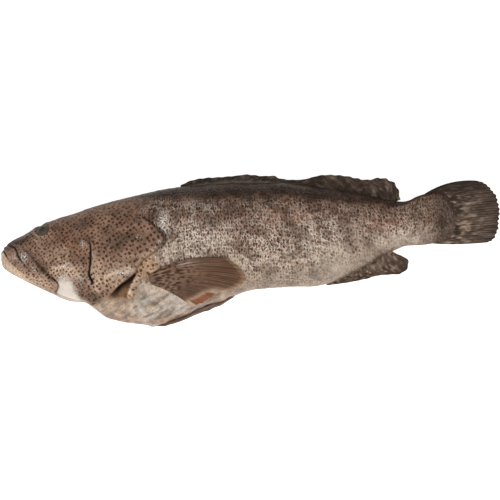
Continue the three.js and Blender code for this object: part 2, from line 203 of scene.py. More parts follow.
def column(rows, index):
    """The smooth function through one column of a table's rows, with no overshoot between two rows."""
    xs = np.array([row[0] for row in rows], float)
    ys = np.array([row[index] for row in rows], float)
    slopes = np.diff(ys) / np.diff(xs)
    before = np.concatenate([slopes[:1], slopes])
    after = np.concatenate([slopes, slopes[-1:]])
    product = before * after
    total = np.where(before + after == 0, 1, before + after)
    tangents = np.where(product > 0, 2 * product / total, 0)

    def value(x):
        i = np.clip(np.searchsorted(xs, x, side="right") - 1, 0, len(xs) - 2)
        width = xs[i + 1] - xs[i]
        t = np.clip((x - xs[i]) / width, 0, 1)
        rise = t * t * (3 - 2 * t)
        start = t * (1 - t) ** 2 * tangents[i]
        end = t * t * (t - 1) * tangents[i + 1]
        return ys[i] * (1 - rise) + ys[i + 1] * rise + width * (start + end)

    return value


back_line = column(BODY, 1)
belly_line = column(BODY, 2)
girth_level = column(BODY, 3)
half_width = column(BODY, 4)
lie_height = column(LIE, 1)


def spline_points(points, per_span=8):
    """Points on the smooth line through the given ones."""
    p = np.array(points, float)
    p = np.vstack([2 * p[0] - p[1], p, 2 * p[-1] - p[-2]])
    t = np.arange(per_span)[:, None] / per_span
    fine = []
    for a, b, c, d in zip(p, p[1:], p[2:], p[3:]):
        curve = 2 * b + (c - a) * t + (2 * a - 5 * b + 4 * c - d) * t**2 + (3 * b - a - 3 * c + d) * t**3
        fine.append(curve / 2)
    return np.vstack([*fine, p[-2]])


def on_line(points, at):
    """Places on the smooth line through the points, at the given shares of its length."""
    fine = spline_points(points)
    steps = np.linalg.norm(np.diff(fine, axis=0), axis=1)
    share = np.concatenate([[0], np.cumsum(steps)]) / steps.sum()
    return np.stack([np.interp(at, share, fine[:, 0]), np.interp(at, share, fine[:, 1])], -1)


def beside_line(points, along, high):
    """How many millimetres each place lies to the left of a line, and beside which share of the line."""
    fine = spline_points(points, 4)
    count = len(fine) - 1
    best = np.full(along.shape, np.inf)
    side, share = np.ones(along.shape), np.zeros(along.shape)
    for i, ((ax, ay), (bx, by)) in enumerate(zip(fine, fine[1:])):
        dx, dy = bx - ax, by - ay
        t = np.clip(((along - ax) * dx + (high - ay) * dy) / (dx * dx + dy * dy), 0, 1)
        rx, ry = along - ax - t * dx, high - ay - t * dy
        distance = np.hypot(rx, ry)
        nearer = distance < best
        best = np.where(nearer, distance, best)
        side = np.where(nearer, np.where(dx * ry >= dy * rx, 1, -1), side)
        share = np.where(nearer, (i + t) / count, share)
    return best * side * MM_PER_CENT, share


def noise(x, y, seed):
    """Smooth noise from -1 to 1, with a period of about 2 in x and y."""
    table = np.random.default_rng(seed).uniform(-1, 1, (NOISE_CELLS, NOISE_CELLS))
    i, j = np.floor(x).astype(int), np.floor(y).astype(int)
    fx, fy = ease(x - i, 0, 1), ease(y - j, 0, 1)
    i0, j0, i1, j1 = (k % NOISE_CELLS for k in (i, j, i + 1, j + 1))
    low = table[i0, j0] * (1 - fx) + table[i1, j0] * fx
    high = table[i0, j1] * (1 - fx) + table[i1, j1] * fx
    return low * (1 - fy) + high * fy


# ---- The fish's surface ----

def girth_share(share, fullness):
    return (1 - np.minimum(1, np.abs(share)) ** fullness) ** (1 / fullness)


def flank_offset(along, high):
    level = girth_level(along)
    is_back = high >= level
    reach = np.where(is_back, back_line(along) - level, level - belly_line(along))
    fullness = np.where(is_back, BACK_FULLNESS, BELLY_FULLNESS)
    return half_width(along) * girth_share((high - level) / reach, fullness)


def belly_skin(along, offset):
    level = girth_level(along)
    return level - (level - belly_line(along)) * girth_share(offset / half_width(along), BELLY_FULLNESS)


def place(along, high, offset):
    """A place in per cent as a point in metres, in the row frame."""
    x = along * PER_CENT + SNOUT_X
    y = high * PER_CENT + AXIS_Y
    z = (lie_height(along) + offset) * PER_CENT
    return np.stack(np.broadcast_arrays(x, y, z), -1)


def pressed_flat(points, softness=0.0012):
    """The points, with what would lie under the board pressed flat on it."""
    z = points[..., 2]
    points[..., 2] = (z + np.sqrt(z * z + softness * softness)) / 2
    return points


def unit(vectors):
    return vectors / (np.linalg.norm(vectors, axis=-1, keepdims=True) + TINY)


def on_flank(along, high, side):
    return place(along, high, side * flank_offset(along, high))


def flank_normals(along, high, side, step=0.1):
    forwards = on_flank(along + step, high, side) - on_flank(along - step, high, side)
    upwards = on_flank(along, high + step, side) - on_flank(along, high - step, side)
    return unit(np.cross(forwards, upwards) * side)


# ---- Relief on the head and trunk, in millimetres ----

def lines_near(along, high):
    """For each line of the head: the distance in millimetres, above 0 on its left, and the share of it."""
    return {name: beside_line(points, along, high) for name, points in LINES.items()}


def before_line(points, along, high):
    """How many millimetres a place lies before a line that climbs through the points."""
    return (np.interp(high, [y for x, y in points], [x for x, y in points]) - along) * MM_PER_CENT


def part_of(share, start, end, soft=0.04):
    """1 on one part of a line, and 0 on the rest."""
    return span(share, start - soft, start + soft, end - soft, end + soft)


def spot(along, high, at_along, at_high, half_along, half_high):
    return bell(np.hypot((along - at_along) / half_along, (high - at_high) / half_high), 1)


def from_eye(along, high):
    return np.hypot(along - EYE[0], (high - EYE[1]) * 1.15) * MM_PER_CENT


# The part of the gill cover's edge where the gap gapes.
GAP = (0.66, 0.86)


def gill_relief(along, high, near):
    """The gill cover over the shoulder, and the gap below it, which gapes."""
    beside_throat = ease(high - belly_line(along), 0.3, 1.2)
    gill, share = near["gill"]
    gap = part_of(share, GAP[0], GAP[1], 0.03)
    height = 3.2 * ease(along - 0.8 * high, 18, 27) * beside_throat * ease(gill, 0.5, -0.5)
    height += 0.8 * beside_throat * part_of(share, 0.15, 0.93) * bell(gill + 2.4, 1.7)
    height -= 6.5 * gap * bell(gill - 2, 1.7)
    height -= 2.2 * (1 - gap) * part_of(share, 0.12, 0.9) * bell(gill - 1.1, 1.1)
    behind = ease(gill, 0.5, 2) * part_of(share, GAP[0], GAP[1], 0.03)
    flesh = before_line(GILL_FLESH_EDGE, along, high)
    height -= 2.4 * behind * span(flesh, -1, 5, 14, 22)
    height += 0.9 * behind * bell(flesh + 2, 1.6)
    fold = before_line(SHOULDER_FOLD, along, high)
    low = ease(gill, 3, 5) * span(high, -10.5, -9, -2, -0.5)
    height += 0.8 * low * bell(fold, 1.8) - 0.6 * low * bell(fold - 3.4, 1.6)
    return height


def relief(along, high, near, side):
    height = gill_relief(along, high, near)

    # The cheek plate and the slit behind it.
    cheek, share = near["cheek"]
    ends = part_of(share, 0.08, 0.85, 0.06)
    height += 1.9 * ends * span(cheek, -12, -1, -0.4, 0.5) * ease(along, 10, 15)
    slit = part_of(share, 0.1, 0.68, 0.06)
    height -= 3.4 * slit * bell(cheek - 0.5, 0.8)
    height += 0.6 * slit * bell(cheek - 3, 1.6)

    # The upper jaw with its rounded end, the lips and the mouth.
    jaw, share = near["jaw"]
    ends = ease(share, 1, 0.9)
    height += 1.9 * ends * ease(jaw, 0.4, -0.6) * bell(jaw + 2, 7) * (jaw < 3) * ease(along, 2.2, 4)
    height -= 2.4 * ends * bell(jaw - 1.2, 1.2) * ease(share, 0.1, 0.3)
    height -= 1.2 * part_of(share, 0.3, 0.66, 0.1) * bell(jaw - 4, 3)
    height += 0.8 * ends * bell(jaw - 9, 3) * ease(along, 4, 7)
    mouth, share = near["mouth"]
    ends = ease(share, 1, 0.7)
    depth = 2 * ends * ease(share, -0.04, 0.12) * (1 - 0.7 * ease(share, 0.25, 0.45))
    height += 1.1 * ends * bell(np.abs(mouth) - 3.2, 1.9) - depth * bell(mouth, 0.9)
    lip, share = near["lip"]
    height -= 1.9 * ease(share, 0.9, 0.5) * bell(lip, 0.9)
    height += 0.8 * ease(share, 0.9, 0.5) * bell(lip - 2.6, 1.5)
    rim, share = near["rim"]
    height -= 0.9 * ease(share, 1, 0.8) * bell(rim, 1)
    height -= 0.9 * spot(along, high, 12.8, -6.9, 2.2, 1.5)

    # The orbit round the eye, the bony ridge before it, and the nostrils.
    ring = from_eye(along, high)
    height += 0.7 * bell(ring - 10.2, 2)
    height -= 3.6 * ease(ring, 8.2, 5)
    height += 0.8 * bell(high - 3.2 - 0.25 * (along - 5), 0.5) * span(along, 3, 4.5, 7, 8.5)
    for x, y in NOSTRILS:
        from_nostril = np.hypot(along - x, high - y) * MM_PER_CENT
        height += 0.6 * bell(from_nostril - 2, 0.9) - 1.8 * bell(from_nostril, 1.1)

    # The crease over the root of the breast fin, and the root's flesh.
    crease, share = near["crease"]
    height += 1.3 * spot(along, high, 30.6, -7, 1.9, 1.2)
    height -= 1.5 * part_of(share, 0.1, 0.7, 0.1) * bell(crease - 0.6, 1)
    height += 0.7 * part_of(share, 0.05, 0.6, 0.08) * bell(crease - 3, 1.4)

    # Soft folds of the belly and breast, and low swells of the flesh.
    belly = ease(high - belly_line(along), 8, 2)
    loose = belly * span(along, 22, 30, 40, 50)
    height += loose * 1.6 * noise(along * 0.42 + 3, high * 0.9 - along * 0.2, 11 + side)
    height += loose * 0.8 * noise(along * 0.9, high * 1.6 - along * 0.4, 13 + side)
    height += 0.6 * noise(along * 0.3, high * 0.4, 17 + side) * ease(along, 4, 10)
    height += 0.25 * noise(along * 1.3, high * 1.3, 19 + side) * ease(along, 4, 10)
    return height


# ---- Colours ----
# Each is an sRGB triple of 0 to 255, as a named region of skin looks in soft light.
BACK = (50, 33, 22)
UPPER_FLANK = (99, 74, 59)
FLANK = (116, 90, 74)
LOW_FLANK = (150, 130, 113)
BELLY = (128, 111, 97)
PALE_FLANK = (184, 171, 158)
PINK_FLANK = (138, 100, 84)
RUSTY_FLANK = (112, 80, 66)
TAIL_ROOT = (66, 50, 41)
FIN_BASE = (82, 65, 54)
BREAST = (161, 141, 122)
BREAST_GREY = (180, 170, 160)
BREAST_SHADE = (116, 98, 84)
BREAST_RIM = (142, 112, 96)
HEAD = (127, 99, 82)
RED_HEAD = (118, 86, 70)
OLIVE_SMUDGE = (78, 67, 58)
SNOUT_TOP = (62, 50, 42)
LIP_PINK = (164, 136, 119)
LOWER_JAW = (198, 172, 151)
TAN = (190, 163, 141)
PALE_TAN = (206, 190, 173)
THROAT = (212, 203, 193)
JAW_RIM_TAN = (158, 132, 114)
# Painted shade, for hollows, the gill chamber and the crease round the eye.
JAW_SHADE = (52, 38, 30)
GILL_FLESH = (112, 82, 58)
SHOULDER_TAN = (178, 148, 122)
# A painted sheen: the grey of slimy skin catching the light.
PAINTED_SHEEN_GREY = (150, 142, 132)

# How far the dark of the back reaches down. [along, reach]
BACK_BAND = [
    [0, 0.3], [3, 0.9], [8, 0.6], [14, 0.5], [20, 0.5], [26, 0.6], [31, 1.4], [36, 3], [41, 3.8], [50, 3.9],
    [60, 3.4], [68, 2.9], [76, 2], [82, 0.7], [90, 0.4],
]
back_band = column(BACK_BAND, 1)
JAW_END_SPOTS = [[8.3, -5.95], [9.1, -5.8], [7.4, -6.6], [9.3, -7.3]]

# Patches of colour in the order of painting: along, high, half length, half height, strength.
BODY_PATCHES = [
    (PALE_FLANK, [(37.5, -1.6, 5, 2.6, 0.3), (43, -0.4, 2.4, 2, 0.45), (33.2, -2.2, 1.2, 2.6, 0.8),
        (33.2, 3.4, 0.7, 1.5, 0.5), (39.3, 6.6, 1.6, 0.9, 0.4), (62, -2, 3, 2, 0.35),
        (65, -7.2, 5, 2.4, 0.6), (58, -8.6, 6, 1.8, 0.3), (76, -3.1, 5, 1.2, 0.65), (82, -3.4, 3, 0.9, 0.6)]),
    (PINK_FLANK, [(26.5, 6.3, 3.4, 1.3, 0.8), (57, 3, 5.5, 1.3, 0.85), (37, 4.2, 4, 1.3, 0.5),
        (75.5, -0.2, 3.8, 1.6, 0.9)]),
    (RUSTY_FLANK, [(80.5, -0.6, 3, 1.4, 0.6)]),
    (PINK_FLANK, [(51.5, -1.8, 2.2, 1.8, 0.55)]),
    (RUSTY_FLANK, [(61.5, 4.2, 3.4, 0.9, 0.85), (46.8, 2.2, 2, 2.4, 0.4)]),
    (UPPER_FLANK, [(49.5, -3, 2.2, 2.6, 0.45)]),
    (PALE_FLANK, [(70, -1, 4, 2, 0.3)]),
]
HEAD_PATCHES = [
    (RED_HEAD, [(14.5, 2.4, 3.6, 2.6, 0.75), (23, 4, 5, 1.6, 0.4)]),
    (LIP_PINK, [(9.6, 0.9, 3, 1.7, 0.55), (2.6, 0.2, 1.5, 1.7, 0.9), (4.6, -2.6, 2.4, 1.7, 0.8),
        (8.8, -0.8, 1.8, 1.2, 0.8)]),
    (PALE_TAN, [(7.4, -5.3, 1.6, 0.9, 0.6)]),
    (TAN, [(5, -4.6, 3.4, 0.9, 0.85), (8.6, -6.3, 2.2, 1.6, 1), (12.8, -3.6, 2.4, 1.3, 0.95),
        (12.4, -0.2, 1.4, 1, 0.75), (10.2, -1.2, 0.8, 0.8, 0.7), (14.6, -4.6, 1.5, 1, 0.8),
        (19.8, -5, 1.8, 3.4, 0.95), (23.2, -5.4, 3, 2, 1), (28, -1.9, 3.4, 0.7, 0.5)]),
    (PALE_TAN, [(16, -5.6, 1.6, 0.9, 0.85), (12.4, -2.8, 1.3, 0.4, 0.6), (24.3, -5, 2, 0.7, 0.85)]),
    (TAN, [(8.2, 3.2, 1, 0.45, 0.75)]),
    (OLIVE_SMUDGE, [(24.2, 0.6, 2.4, 1, 0.85), (16.4, 5.2, 1.3, 1, 0.7), (5, 0.4, 1, 0.9, 0.35),
        (14.9, -7.5, 0.9, 0.5, 0.8), (17.2, -8.9, 2, 0.8, 0.9), (32, 1.7, 0.8, 1, 0.6),
        (28.5, 4.9, 0.8, 0.5, 0.7)]),
    # A patch of painted sheen on the upper jaw.
    (PAINTED_SHEEN_GREY, [(5.2, -0.6, 0.9, 1, 0.5)]),
]


def linear(colour):
    c = np.asarray(colour, float) / 255
    return np.where(c <= 0.04045, c / 12.92, ((c + 0.055) / 1.055) ** 2.4)


class Coat:
    """Linear colours at many places, painted over one another."""

    def __init__(self, colour, places):
        self.colours = np.tile(linear(colour), np.shape(places) + (1,))

    def mix(self, colours, mask):
        mask = np.clip(mask, 0, 1)[..., None]
        self.colours = self.colours * (1 - mask) + colours * mask

    def add(self, colour, mask):
        self.mix(linear(colour), mask)

    def add_patches(self, patches, along, high, seed):
        """Patches with ragged edges."""
        x = along + 1.1 * noise(along * 0.8, high, seed) + 0.5 * noise(along * 2.1, high * 2.3, seed + 1)
        y = high + 0.6 * noise(along * 0.9 + 5, high, seed + 2)
        y = y + 0.35 * noise(along * 2.2, high * 2.6, seed + 3)
        for colour, rows in patches:
            for *where, strength in rows:
                self.add(colour, strength * spot(x, y, *where))

    def streak(self, ray, s, seed, pale, dark, strength):
        """Pale and dark streaks that run out along a fin's rays."""
        streak = noise(ray * 1.3 + 5, s * 5, seed) * 0.6 + noise(ray * 3.1, s * 9, seed + 1) * 0.4
        self.add(pale, streak * strength)
        self.add(dark, -streak * strength)


def head_mask(along, high, near):
    """1 on the head, which ends at the edge of the gill cover, and 0 on the body."""
    covered = ease(near["gill"][0], 0.5, -0.4)
    nape = ease(along - (high - 6.6) * 0.4, 31, 25)
    blend = ease(high, 5, 7.2)
    head = covered * (1 - blend) + nape * blend
    return np.where(along > 33.5, 0, np.where(along < 15, 1, head))


def body_colours(along, high, down, side):
    low = belly_line(along)
    share = (high - low) / (back_line(along) - low)
    wander = 0.07 * noise(along * 0.35, high * 0.5, 21 + side) + 0.04 * noise(along, high * 1.2, 23 + side)
    h = share + wander
    coat = Coat(BELLY, along)
    coat.add(LOW_FLANK, ease(h, 0.04, 0.2))
    coat.add(FLANK, ease(h, 0.24, 0.45))
    coat.add(UPPER_FLANK, ease(h, 0.52, 0.8))
    coat.add_patches(BODY_PATCHES, along, high, 25 + side)
    coat.add(TAIL_ROOT, 0.9 * ease(along - 0.12 * high + 10 * wander, 84, 88))
    fin_base = ease(high - low - 0.25 * ease(along, 66, 70), 0.7, 0)
    coat.add(FIN_BASE, 0.8 * fin_base * span(along, 62, 67, 77, 79))

    breast = ease(share, 0.4, 0.24) * span(along, 15, 19, 42, 50)
    coat.add(BREAST, breast)
    mottle = 0.6 + 0.9 * noise(along * 0.45, down * 0.8 + along * 0.15, 33 + side)
    coat.add(BREAST_GREY, breast * ease(along, 23, 28) * np.clip(mottle, 0, 1))
    # Painted shade of the breast's soft folds in dark streaks; the finer streaks add painted shade and pale
    # grey.
    streaks = noise(along * 0.5 + 9, down * 1.1 + along * 0.5, 35 + side)
    streaks = streaks + 0.6 * noise(along, down * 2.4 + along, 39 + side)
    coat.add(BREAST_SHADE, breast * 0.95 * np.clip(-1.3 * streaks, 0, 1))
    fine_streaks = noise(along * 1.9 + 4, down * 4.6 + along * 2.2, 45 + side)
    fine_streaks = fine_streaks + 0.5 * noise(along * 3.9, down * 8 + along * 3, 49 + side)
    coat.add(BREAST_SHADE, breast * 0.5 * np.clip(-fine_streaks, 0, 1))
    coat.add(BREAST_GREY, breast * 0.5 * np.clip(fine_streaks, 0, 1))
    coat.add(BREAST_RIM, 0.6 * breast * ease(share, 0.07, 0))
    return coat, share


def shoulder_colours(coat, along, high, near):
    """Paints the shoulder behind the gill cover and the flesh below it, and says where the shoulder is."""
    gill, share = near["gill"]
    fold = before_line(SHOULDER_FOLD, along, high)
    behind = ease(gill, -0.5, 0.6) * part_of(share, 0.5, 0.91, 0.03)
    shoulder = behind * ease(fold, -1.5, 1.5) * span(high, -11, -9.6, -1.6, -0.4)
    coat.add(SHOULDER_TAN, 0.9 * shoulder)
    coat.add(TAN, 0.8 * behind * bell(fold + 1.2, 2.2) * span(high, -5.5, -4, -1.5, -0.3))
    flesh = before_line(GILL_FLESH_EDGE, along, high)
    chamber = behind * span(high, -10.4, -9.7, -6.6, -5.6) * ease(flesh, -0.5, 2)
    coat.add(GILL_FLESH, chamber)
    # Painted shade in the gill chamber, darkest just under the gill cover's edge.
    coat.add(JAW_SHADE, 0.75 * chamber * ease(gill, 11, 4))
    coat.add(PALE_TAN, 0.8 * behind * bell(flesh + 1.4, 1.2) * span(high, -10.5, -9, -7, -6))
    return shoulder * (1 - chamber)


def throat_share(along, high, frayed):
    """1 on the throat's bare white skin."""
    rear = ease(along + 0.25 * (high + 6) + frayed, 15.2, 13.2)
    return ease(along, 10.4, 11) * rear * ease(high + frayed, -4.4, -6.2)


def head_colours(along, high, near, side):
    wander = noise(along * 0.5, high * 0.6, 37 + side)
    coat = Coat(HEAD, along)
    coat.add_patches(HEAD_PATCHES, along, high, 41 + side)
    coat.add(OLIVE_SMUDGE, 0.3 * wander)
    coat.add(TAN, -0.2 * wander)
    lower_jaw = ease(near["mouth"][0], 0.5, -1.5) * ease(along, 9, 4)
    coat.add(LOWER_JAW, lower_jaw * ease(high - belly_line(along), 0, 0.5))
    coat.add(SNOUT_TOP, 0.9 * spot(along, high, 3.6, 2.9 + 0.2 * (along - 3.6), 3, 0.65))

    # The white skin of the throat, behind the rounded end of the jaw.
    frayed = 0.35 * noise(along * 1.4, high * 1.4, 67 + side)
    frayed = frayed + 0.2 * noise(along * 3.2, high * 3.2, 69 + side)
    coat.add(THROAT, throat_share(along, high, frayed) * ease(near["jaw"][0], 0.2, 1))
    below_rim = ease(near["rim"][0], 0.5, -2.5)
    coat.add(JAW_RIM_TAN, below_rim * ease(along, 9.5, 11) * ease(along + frayed, 17.5, 14.5))

    # The hollow above the upper jaw, darkened with painted shade, and an olive smudge along it.
    jaw, share = near["jaw"]
    coat.add(JAW_SHADE, 0.62 * part_of(share, 0.36, 0.7, 0.09) * span(jaw, -1.5, 0.5, 1, 4.2))
    coat.add(OLIVE_SMUDGE, 0.35 * part_of(share, 0.2, 0.6, 0.08) * bell(jaw + 1, 3.2))
    for x, y in JAW_END_SPOTS:
        coat.add(RED_HEAD, 0.85 * spot(along, high, x, y, 0.22, 0.42))

    gill, share = near["gill"]
    # A darker band on the gill cover's steep edge: painted shade.
    coat.add(RED_HEAD, 0.6 * part_of(share, 0.1, 0.93) * bell(gill - 0.2, 0.8))
    coat.add(TAN, 0.7 * part_of(share, 0.42, 0.64) * bell(gill + 1.8, 1.5))
    return coat


def skin_colours(along, high, down, near, side):
    """The skin's colours, with how much each place is head and how much is spotted shoulder."""
    coat, share = body_colours(along, high, down, side)
    shoulder = shoulder_colours(coat, along, high, near)
    head = head_mask(along, high, near)
    coat.mix(head_colours(along, high, near, side).colours, head)
    reach = back_band(along) * (1 + 0.35 * noise(along * 0.5, high * 0.5, 47 + side))
    on_head = head * ease(along, 32, 24)
    dark_back = ease(back_line(along) - high, 1.15 * reach, 0.5 * reach * (1 - 0.6 * on_head))
    coat.add(BACK, (0.92 - 0.3 * on_head) * dark_back)
    ring = from_eye(along, high)
    coat.add(TAN, 0.55 * bell(ring - 10, 1.4) * ease(EYE[1] - high, -0.2, 0.9))
    # Painted shade in the crease round the eye.
    coat.add(JAW_SHADE, 0.6 * bell(ring - 8, 0.9))
    return coat, head, shoulder, share


# ---- Meshes ----

def add_object(name, data):
    made = bpy.data.objects.new(name, data)
    bpy.context.scene.collection.objects.link(made)
    return made


def add_mesh(name, points, faces, material):
    mesh = bpy.data.meshes.new(name)
    mesh.from_pydata(np.asarray(points, float).tolist(), [], faces)
    mesh.materials.append(material)
    return add_object(name, mesh)


def add_piece(name, points, faces, material):
    """A smooth piece of the fish."""
    piece = add_mesh(name, points, faces, material)
    piece.data.shade_smooth()
    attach(piece, "root")
    return piece


def add_colours(piece, colours):
    colours = np.insert(colours.reshape(-1, 3), 3, 1, axis=1)
    layer = piece.data.attributes.new("base", "FLOAT_COLOR", "POINT")
    layer.data.foreach_set("color", colours.ravel())


def add_vectors(piece, name, vectors):
    layer = piece.data.attributes.new(name, "FLOAT_VECTOR", "POINT")
    layer.data.foreach_set("vector", np.ravel(vectors))


def grid_faces(grid):
    """The squares between the numbered points of a grid."""
    return np.stack([grid[:-1, :-1], grid[:-1, 1:], grid[1:, 1:], grid[1:, :-1]], -1).reshape(-1, 4).tolist()


def ring_faces(rings, around):
    """Faces over rings of points, which follow a pole, number 0, and are followed by another."""
    grid = 1 + np.arange(rings * around).reshape(rings, around)
    grid = np.hstack([grid, grid[:, :1]])
    caps = [[0, b, a] for a, b in zip(grid[0].tolist(), grid[0, 1:].tolist())]
    caps += [[rings * around + 1, a, b] for a, b in zip(grid[-1].tolist(), grid[-1, 1:].tolist())]
    return grid_faces(grid) + caps


# ---- Materials ----
# Linear colours, and the share of each channel that a spot or a scale's dark middle leaves.
SPOT_SHARE = (0.24, 0.17, 0.14, 1)
SCALE_SHARE = (0.33, 0.24, 0.19, 1)
NET_COLOUR = (0.74, 0.665, 0.58, 1)
# A painted highlight, for glints on the slimy skin.
PAINTED_GLINT_COLOUR = (0.84, 0.82, 0.78, 1)
# Painted shade for the creases, slits and gaps of the head.
PAINTED_SHADE = (0.012, 0.006, 0.004, 1)
SPECULAR = 0.1


class Graph:
    """A material's node graph, with short calls for the nodes used here."""

    def __init__(self, name):
        self.material = bpy.data.materials.new(name)
        self.material.use_nodes = True
        self.tree = self.material.node_tree
        self.shader = self.tree.nodes["Principled BSDF"]
        self.shader.inputs["Specular IOR Level"].default_value = SPECULAR

    def set(self, socket, value):
        if hasattr(value, "is_output"):
            self.tree.links.new(value, socket)
        else:
            socket.default_value = value

    def node(self, kind, inputs, **settings):
        """Adds a node, with its inputs by name or number, and gives its outputs."""
        made = self.tree.nodes.new("ShaderNode" + kind)
        for key, value in settings.items():
            setattr(made, key, value)
        for key, value in inputs.items():
            self.set(made.inputs[key], value)
        return made.outputs

    def colour(self, name):
        return self.node("Attribute", {}, attribute_name=name)["Color"]

    def vector(self, name):
        return self.node("Attribute", {}, attribute_name=name)["Vector"]

    def split(self, vector):
        return self.node("SeparateXYZ", {0: vector})

    def math(self, operation, a, b=0.0, clamp=False):
        return self.node("Math", {0: a, 1: b}, operation=operation, use_clamp=clamp)[0]

    def times(self, a, b, clamp=False):
        return self.math("MULTIPLY", a, b, clamp)

    def ramp(self, value, start, end, low=0.0, high=1.0):
        inputs = dict(enumerate((value, start, end, low, high)))
        return self.node("MapRange", inputs, interpolation_type="SMOOTHSTEP", clamp=True)[0]

    def mix(self, factor, a, b, blend="MIX"):
        settings = {"data_type": "RGBA", "blend_type": blend, "clamp_factor": True}
        return self.node("Mix", {0: factor, 6: a, 7: b}, **settings)[2]

    def darker(self, factor, colour, share):
        return self.mix(factor, colour, self.mix(1.0, colour, share, "MULTIPLY"))

    def tint(self, colour, level):
        """The colour made brighter or darker by level."""
        return self.node("VectorMath", {0: colour, "Scale": level}, operation="SCALE")[0]

    def tint_by(self, colour, change):
        return self.tint(colour, self.math("ADD", change, 1.0))

    def noise(self, vector, scale, detail=2.0, roughness=0.5, output=0):
        inputs = {"Vector": vector, "Scale": scale, "Detail": detail, "Roughness": roughness}
        return self.node("TexNoise", inputs, noise_dimensions="2D")[output]

    def shifted(self, vector, scale, detail, reach):
        """The places moved to and fro by noise."""
        wander = self.noise(vector, scale, detail, output="Color")
        inputs = {0: wander, 1: (reach, reach, 0), 2: vector}
        return self.node("VectorMath", inputs, operation="MULTIPLY_ADD")[0]

    def cells(self, vector, randomness, feature="F1"):
        inputs = {"Vector": vector, "Scale": 1.0, "Randomness": randomness}
        return self.node("TexVoronoi", inputs, voronoi_dimensions="2D", feature=feature)

    def bumps(self, height, distance):
        bump = self.node("Bump", {"Height": height, "Distance": distance, "Strength": 1.0})
        self.set(self.shader.inputs["Normal"], bump[0])

    def finish(self, colour, roughness, coat, coat_roughness):
        self.set(self.shader.inputs["Base Color"], colour)
        self.set(self.shader.inputs["Roughness"], roughness)
        self.shader.inputs["Coat Weight"].default_value = coat
        self.shader.inputs["Coat Roughness"].default_value = coat_roughness
        return self.material


def spots(g, colour, at, spotted):
    """Dark round spots, no two alike."""
    drops = g.cells(g.shifted(at, 1.7, 2.0, 0.35), 0.62)
    tone = g.split(drops["Color"])
    inside = g.math("SUBTRACT", g.ramp(tone[1], 0.0, 1.0, 0.2, 0.34), drops["Distance"])
    spot = g.times(g.ramp(inside, -0.1, 0.08), spotted, True)
    return g.darker(g.times(spot, g.ramp(tone[0], 0.0, 0.6, 0.72, 1.0)), colour, SPOT_SHARE)


def scales(g, colour, at, patches_at, scaly, net):
    """Scales with dark middles in upright rows, and a broken pale net between them."""
    wandering = g.shifted(at, 0.8, 3.0, 0.9)
    cells = g.cells(wandering, 0.7)
    rims = g.cells(wandering, 0.7, "DISTANCE_TO_EDGE")
    tone = g.split(cells["Color"])
    dark = g.times(g.ramp(cells["Distance"], 0.62, 0.2), g.ramp(tone[0], 0.0, 0.8, 0.1, 1.0))
    pale = g.times(g.ramp(rims["Distance"], 0.22, 0.05), g.ramp(g.noise(at, 0.9), 0.42, 0.55))
    curls = g.ramp(g.math("ABSOLUTE", g.math("SUBTRACT", g.noise(at, 0.7, 1.0), 0.5)), 0.06, 0.015)
    pale = g.math("MAXIMUM", pale, g.times(curls, 0.75))
    pale = g.times(pale, g.ramp(g.noise(patches_at, 0.3, 3.0, 0.6), 0.38, 0.56, 0.3, 1.0))
    colour = g.tint_by(colour, g.times(g.ramp(tone[1], 0.0, 1.0, -0.3, 0.3), scaly))
    colour = g.darker(g.times(dark, scaly, True), colour, SCALE_SHARE)
    return g.mix(g.times(pale, net, True), colour, NET_COLOUR), cells["Distance"]


def painted_shade_line(g, colour, name):
    """Paints shade along a crease, slit or gap, from its attribute: distance, darkness and half width."""
    distance, darkness, half_width = g.split(g.vector(name + "_line"))
    near = g.ramp(g.math("ABSOLUTE", distance), half_width, g.times(half_width, 0.35))
    return g.mix(g.times(near, darkness, True), colour, PAINTED_SHADE)


def skin_material():
    g = Graph("fish_skin")
    spots_at, scales_at = g.vector("spots_at"), g.vector("scales_at")
    spotted, scaly, net = g.split(g.vector("masks"))
    painted_glint, mottled, smooth = g.split(g.vector("skin"))

    blotches = g.ramp(g.noise(spots_at, 0.3, 4.0, 0.65), 0.3, 0.7, -0.22, 0.26)
    colour = g.tint_by(g.colour("base"), g.times(blotches, mottled))
    grain = g.noise(scales_at, 1.7, 4.0, 0.7)
    roughened = g.times(g.ramp(grain, 0.28, 0.72, -0.3, 0.28), g.math("SUBTRACT", 1.0, smooth))
    colour = g.tint_by(colour, roughened)
    colour, distance = scales(g, colour, scales_at, spots_at, scaly, net)
    colour = spots(g, colour, spots_at, spotted)
    # Painted highlights: pale glinting flecks on the skin.
    glint_flecks = g.times(g.ramp(g.noise(scales_at, 2.2, 1.0), 0.5, 0.62), painted_glint, True)
    colour = g.mix(glint_flecks, colour, PAINTED_GLINT_COLOUR)
    # Painted shade along the gill gap and the head's creases and slits.
    for name in ("gap", *LINES):
        colour = painted_shade_line(g, colour, name)
    g.bumps(g.math("ADD", g.times(g.ramp(distance, 0.6, 0.1), scaly), g.times(grain, 0.5)), 0.4 * MM)
    return g.finish(colour, g.ramp(grain, 0.2, 0.8, 0.36, 0.56), 0.02, 0.25)


def fin_material():
    g = Graph("fin_skin")
    at = g.vector("fin_at")
    fine = g.noise(at, 4.0, 2.0, 0.6)
    tone = g.math("ADD", g.times(g.noise(at, 1.0, 3.0, 0.6), 0.65), g.times(fine, 0.35))
    colour = g.tint(g.colour("base"), g.ramp(tone, 0.32, 0.68, 0.66, 1.38))
    g.bumps(fine, 0.2 * MM)
    return g.finish(colour, 0.48, 0.02, 0.3)


def eye_material():
    g = Graph("fish_eye")
    base = g.colour("base")
    clouds = g.ramp(g.noise(base, 90.0, 3.0), 0.3, 0.7, 0.85, 1.15)
    return g.finish(g.tint(base, clouds), 0.6, 0.18, 0.08)


# ---- The skin ----
ALONG_STEPS = 368
AROUND_STEPS = 268
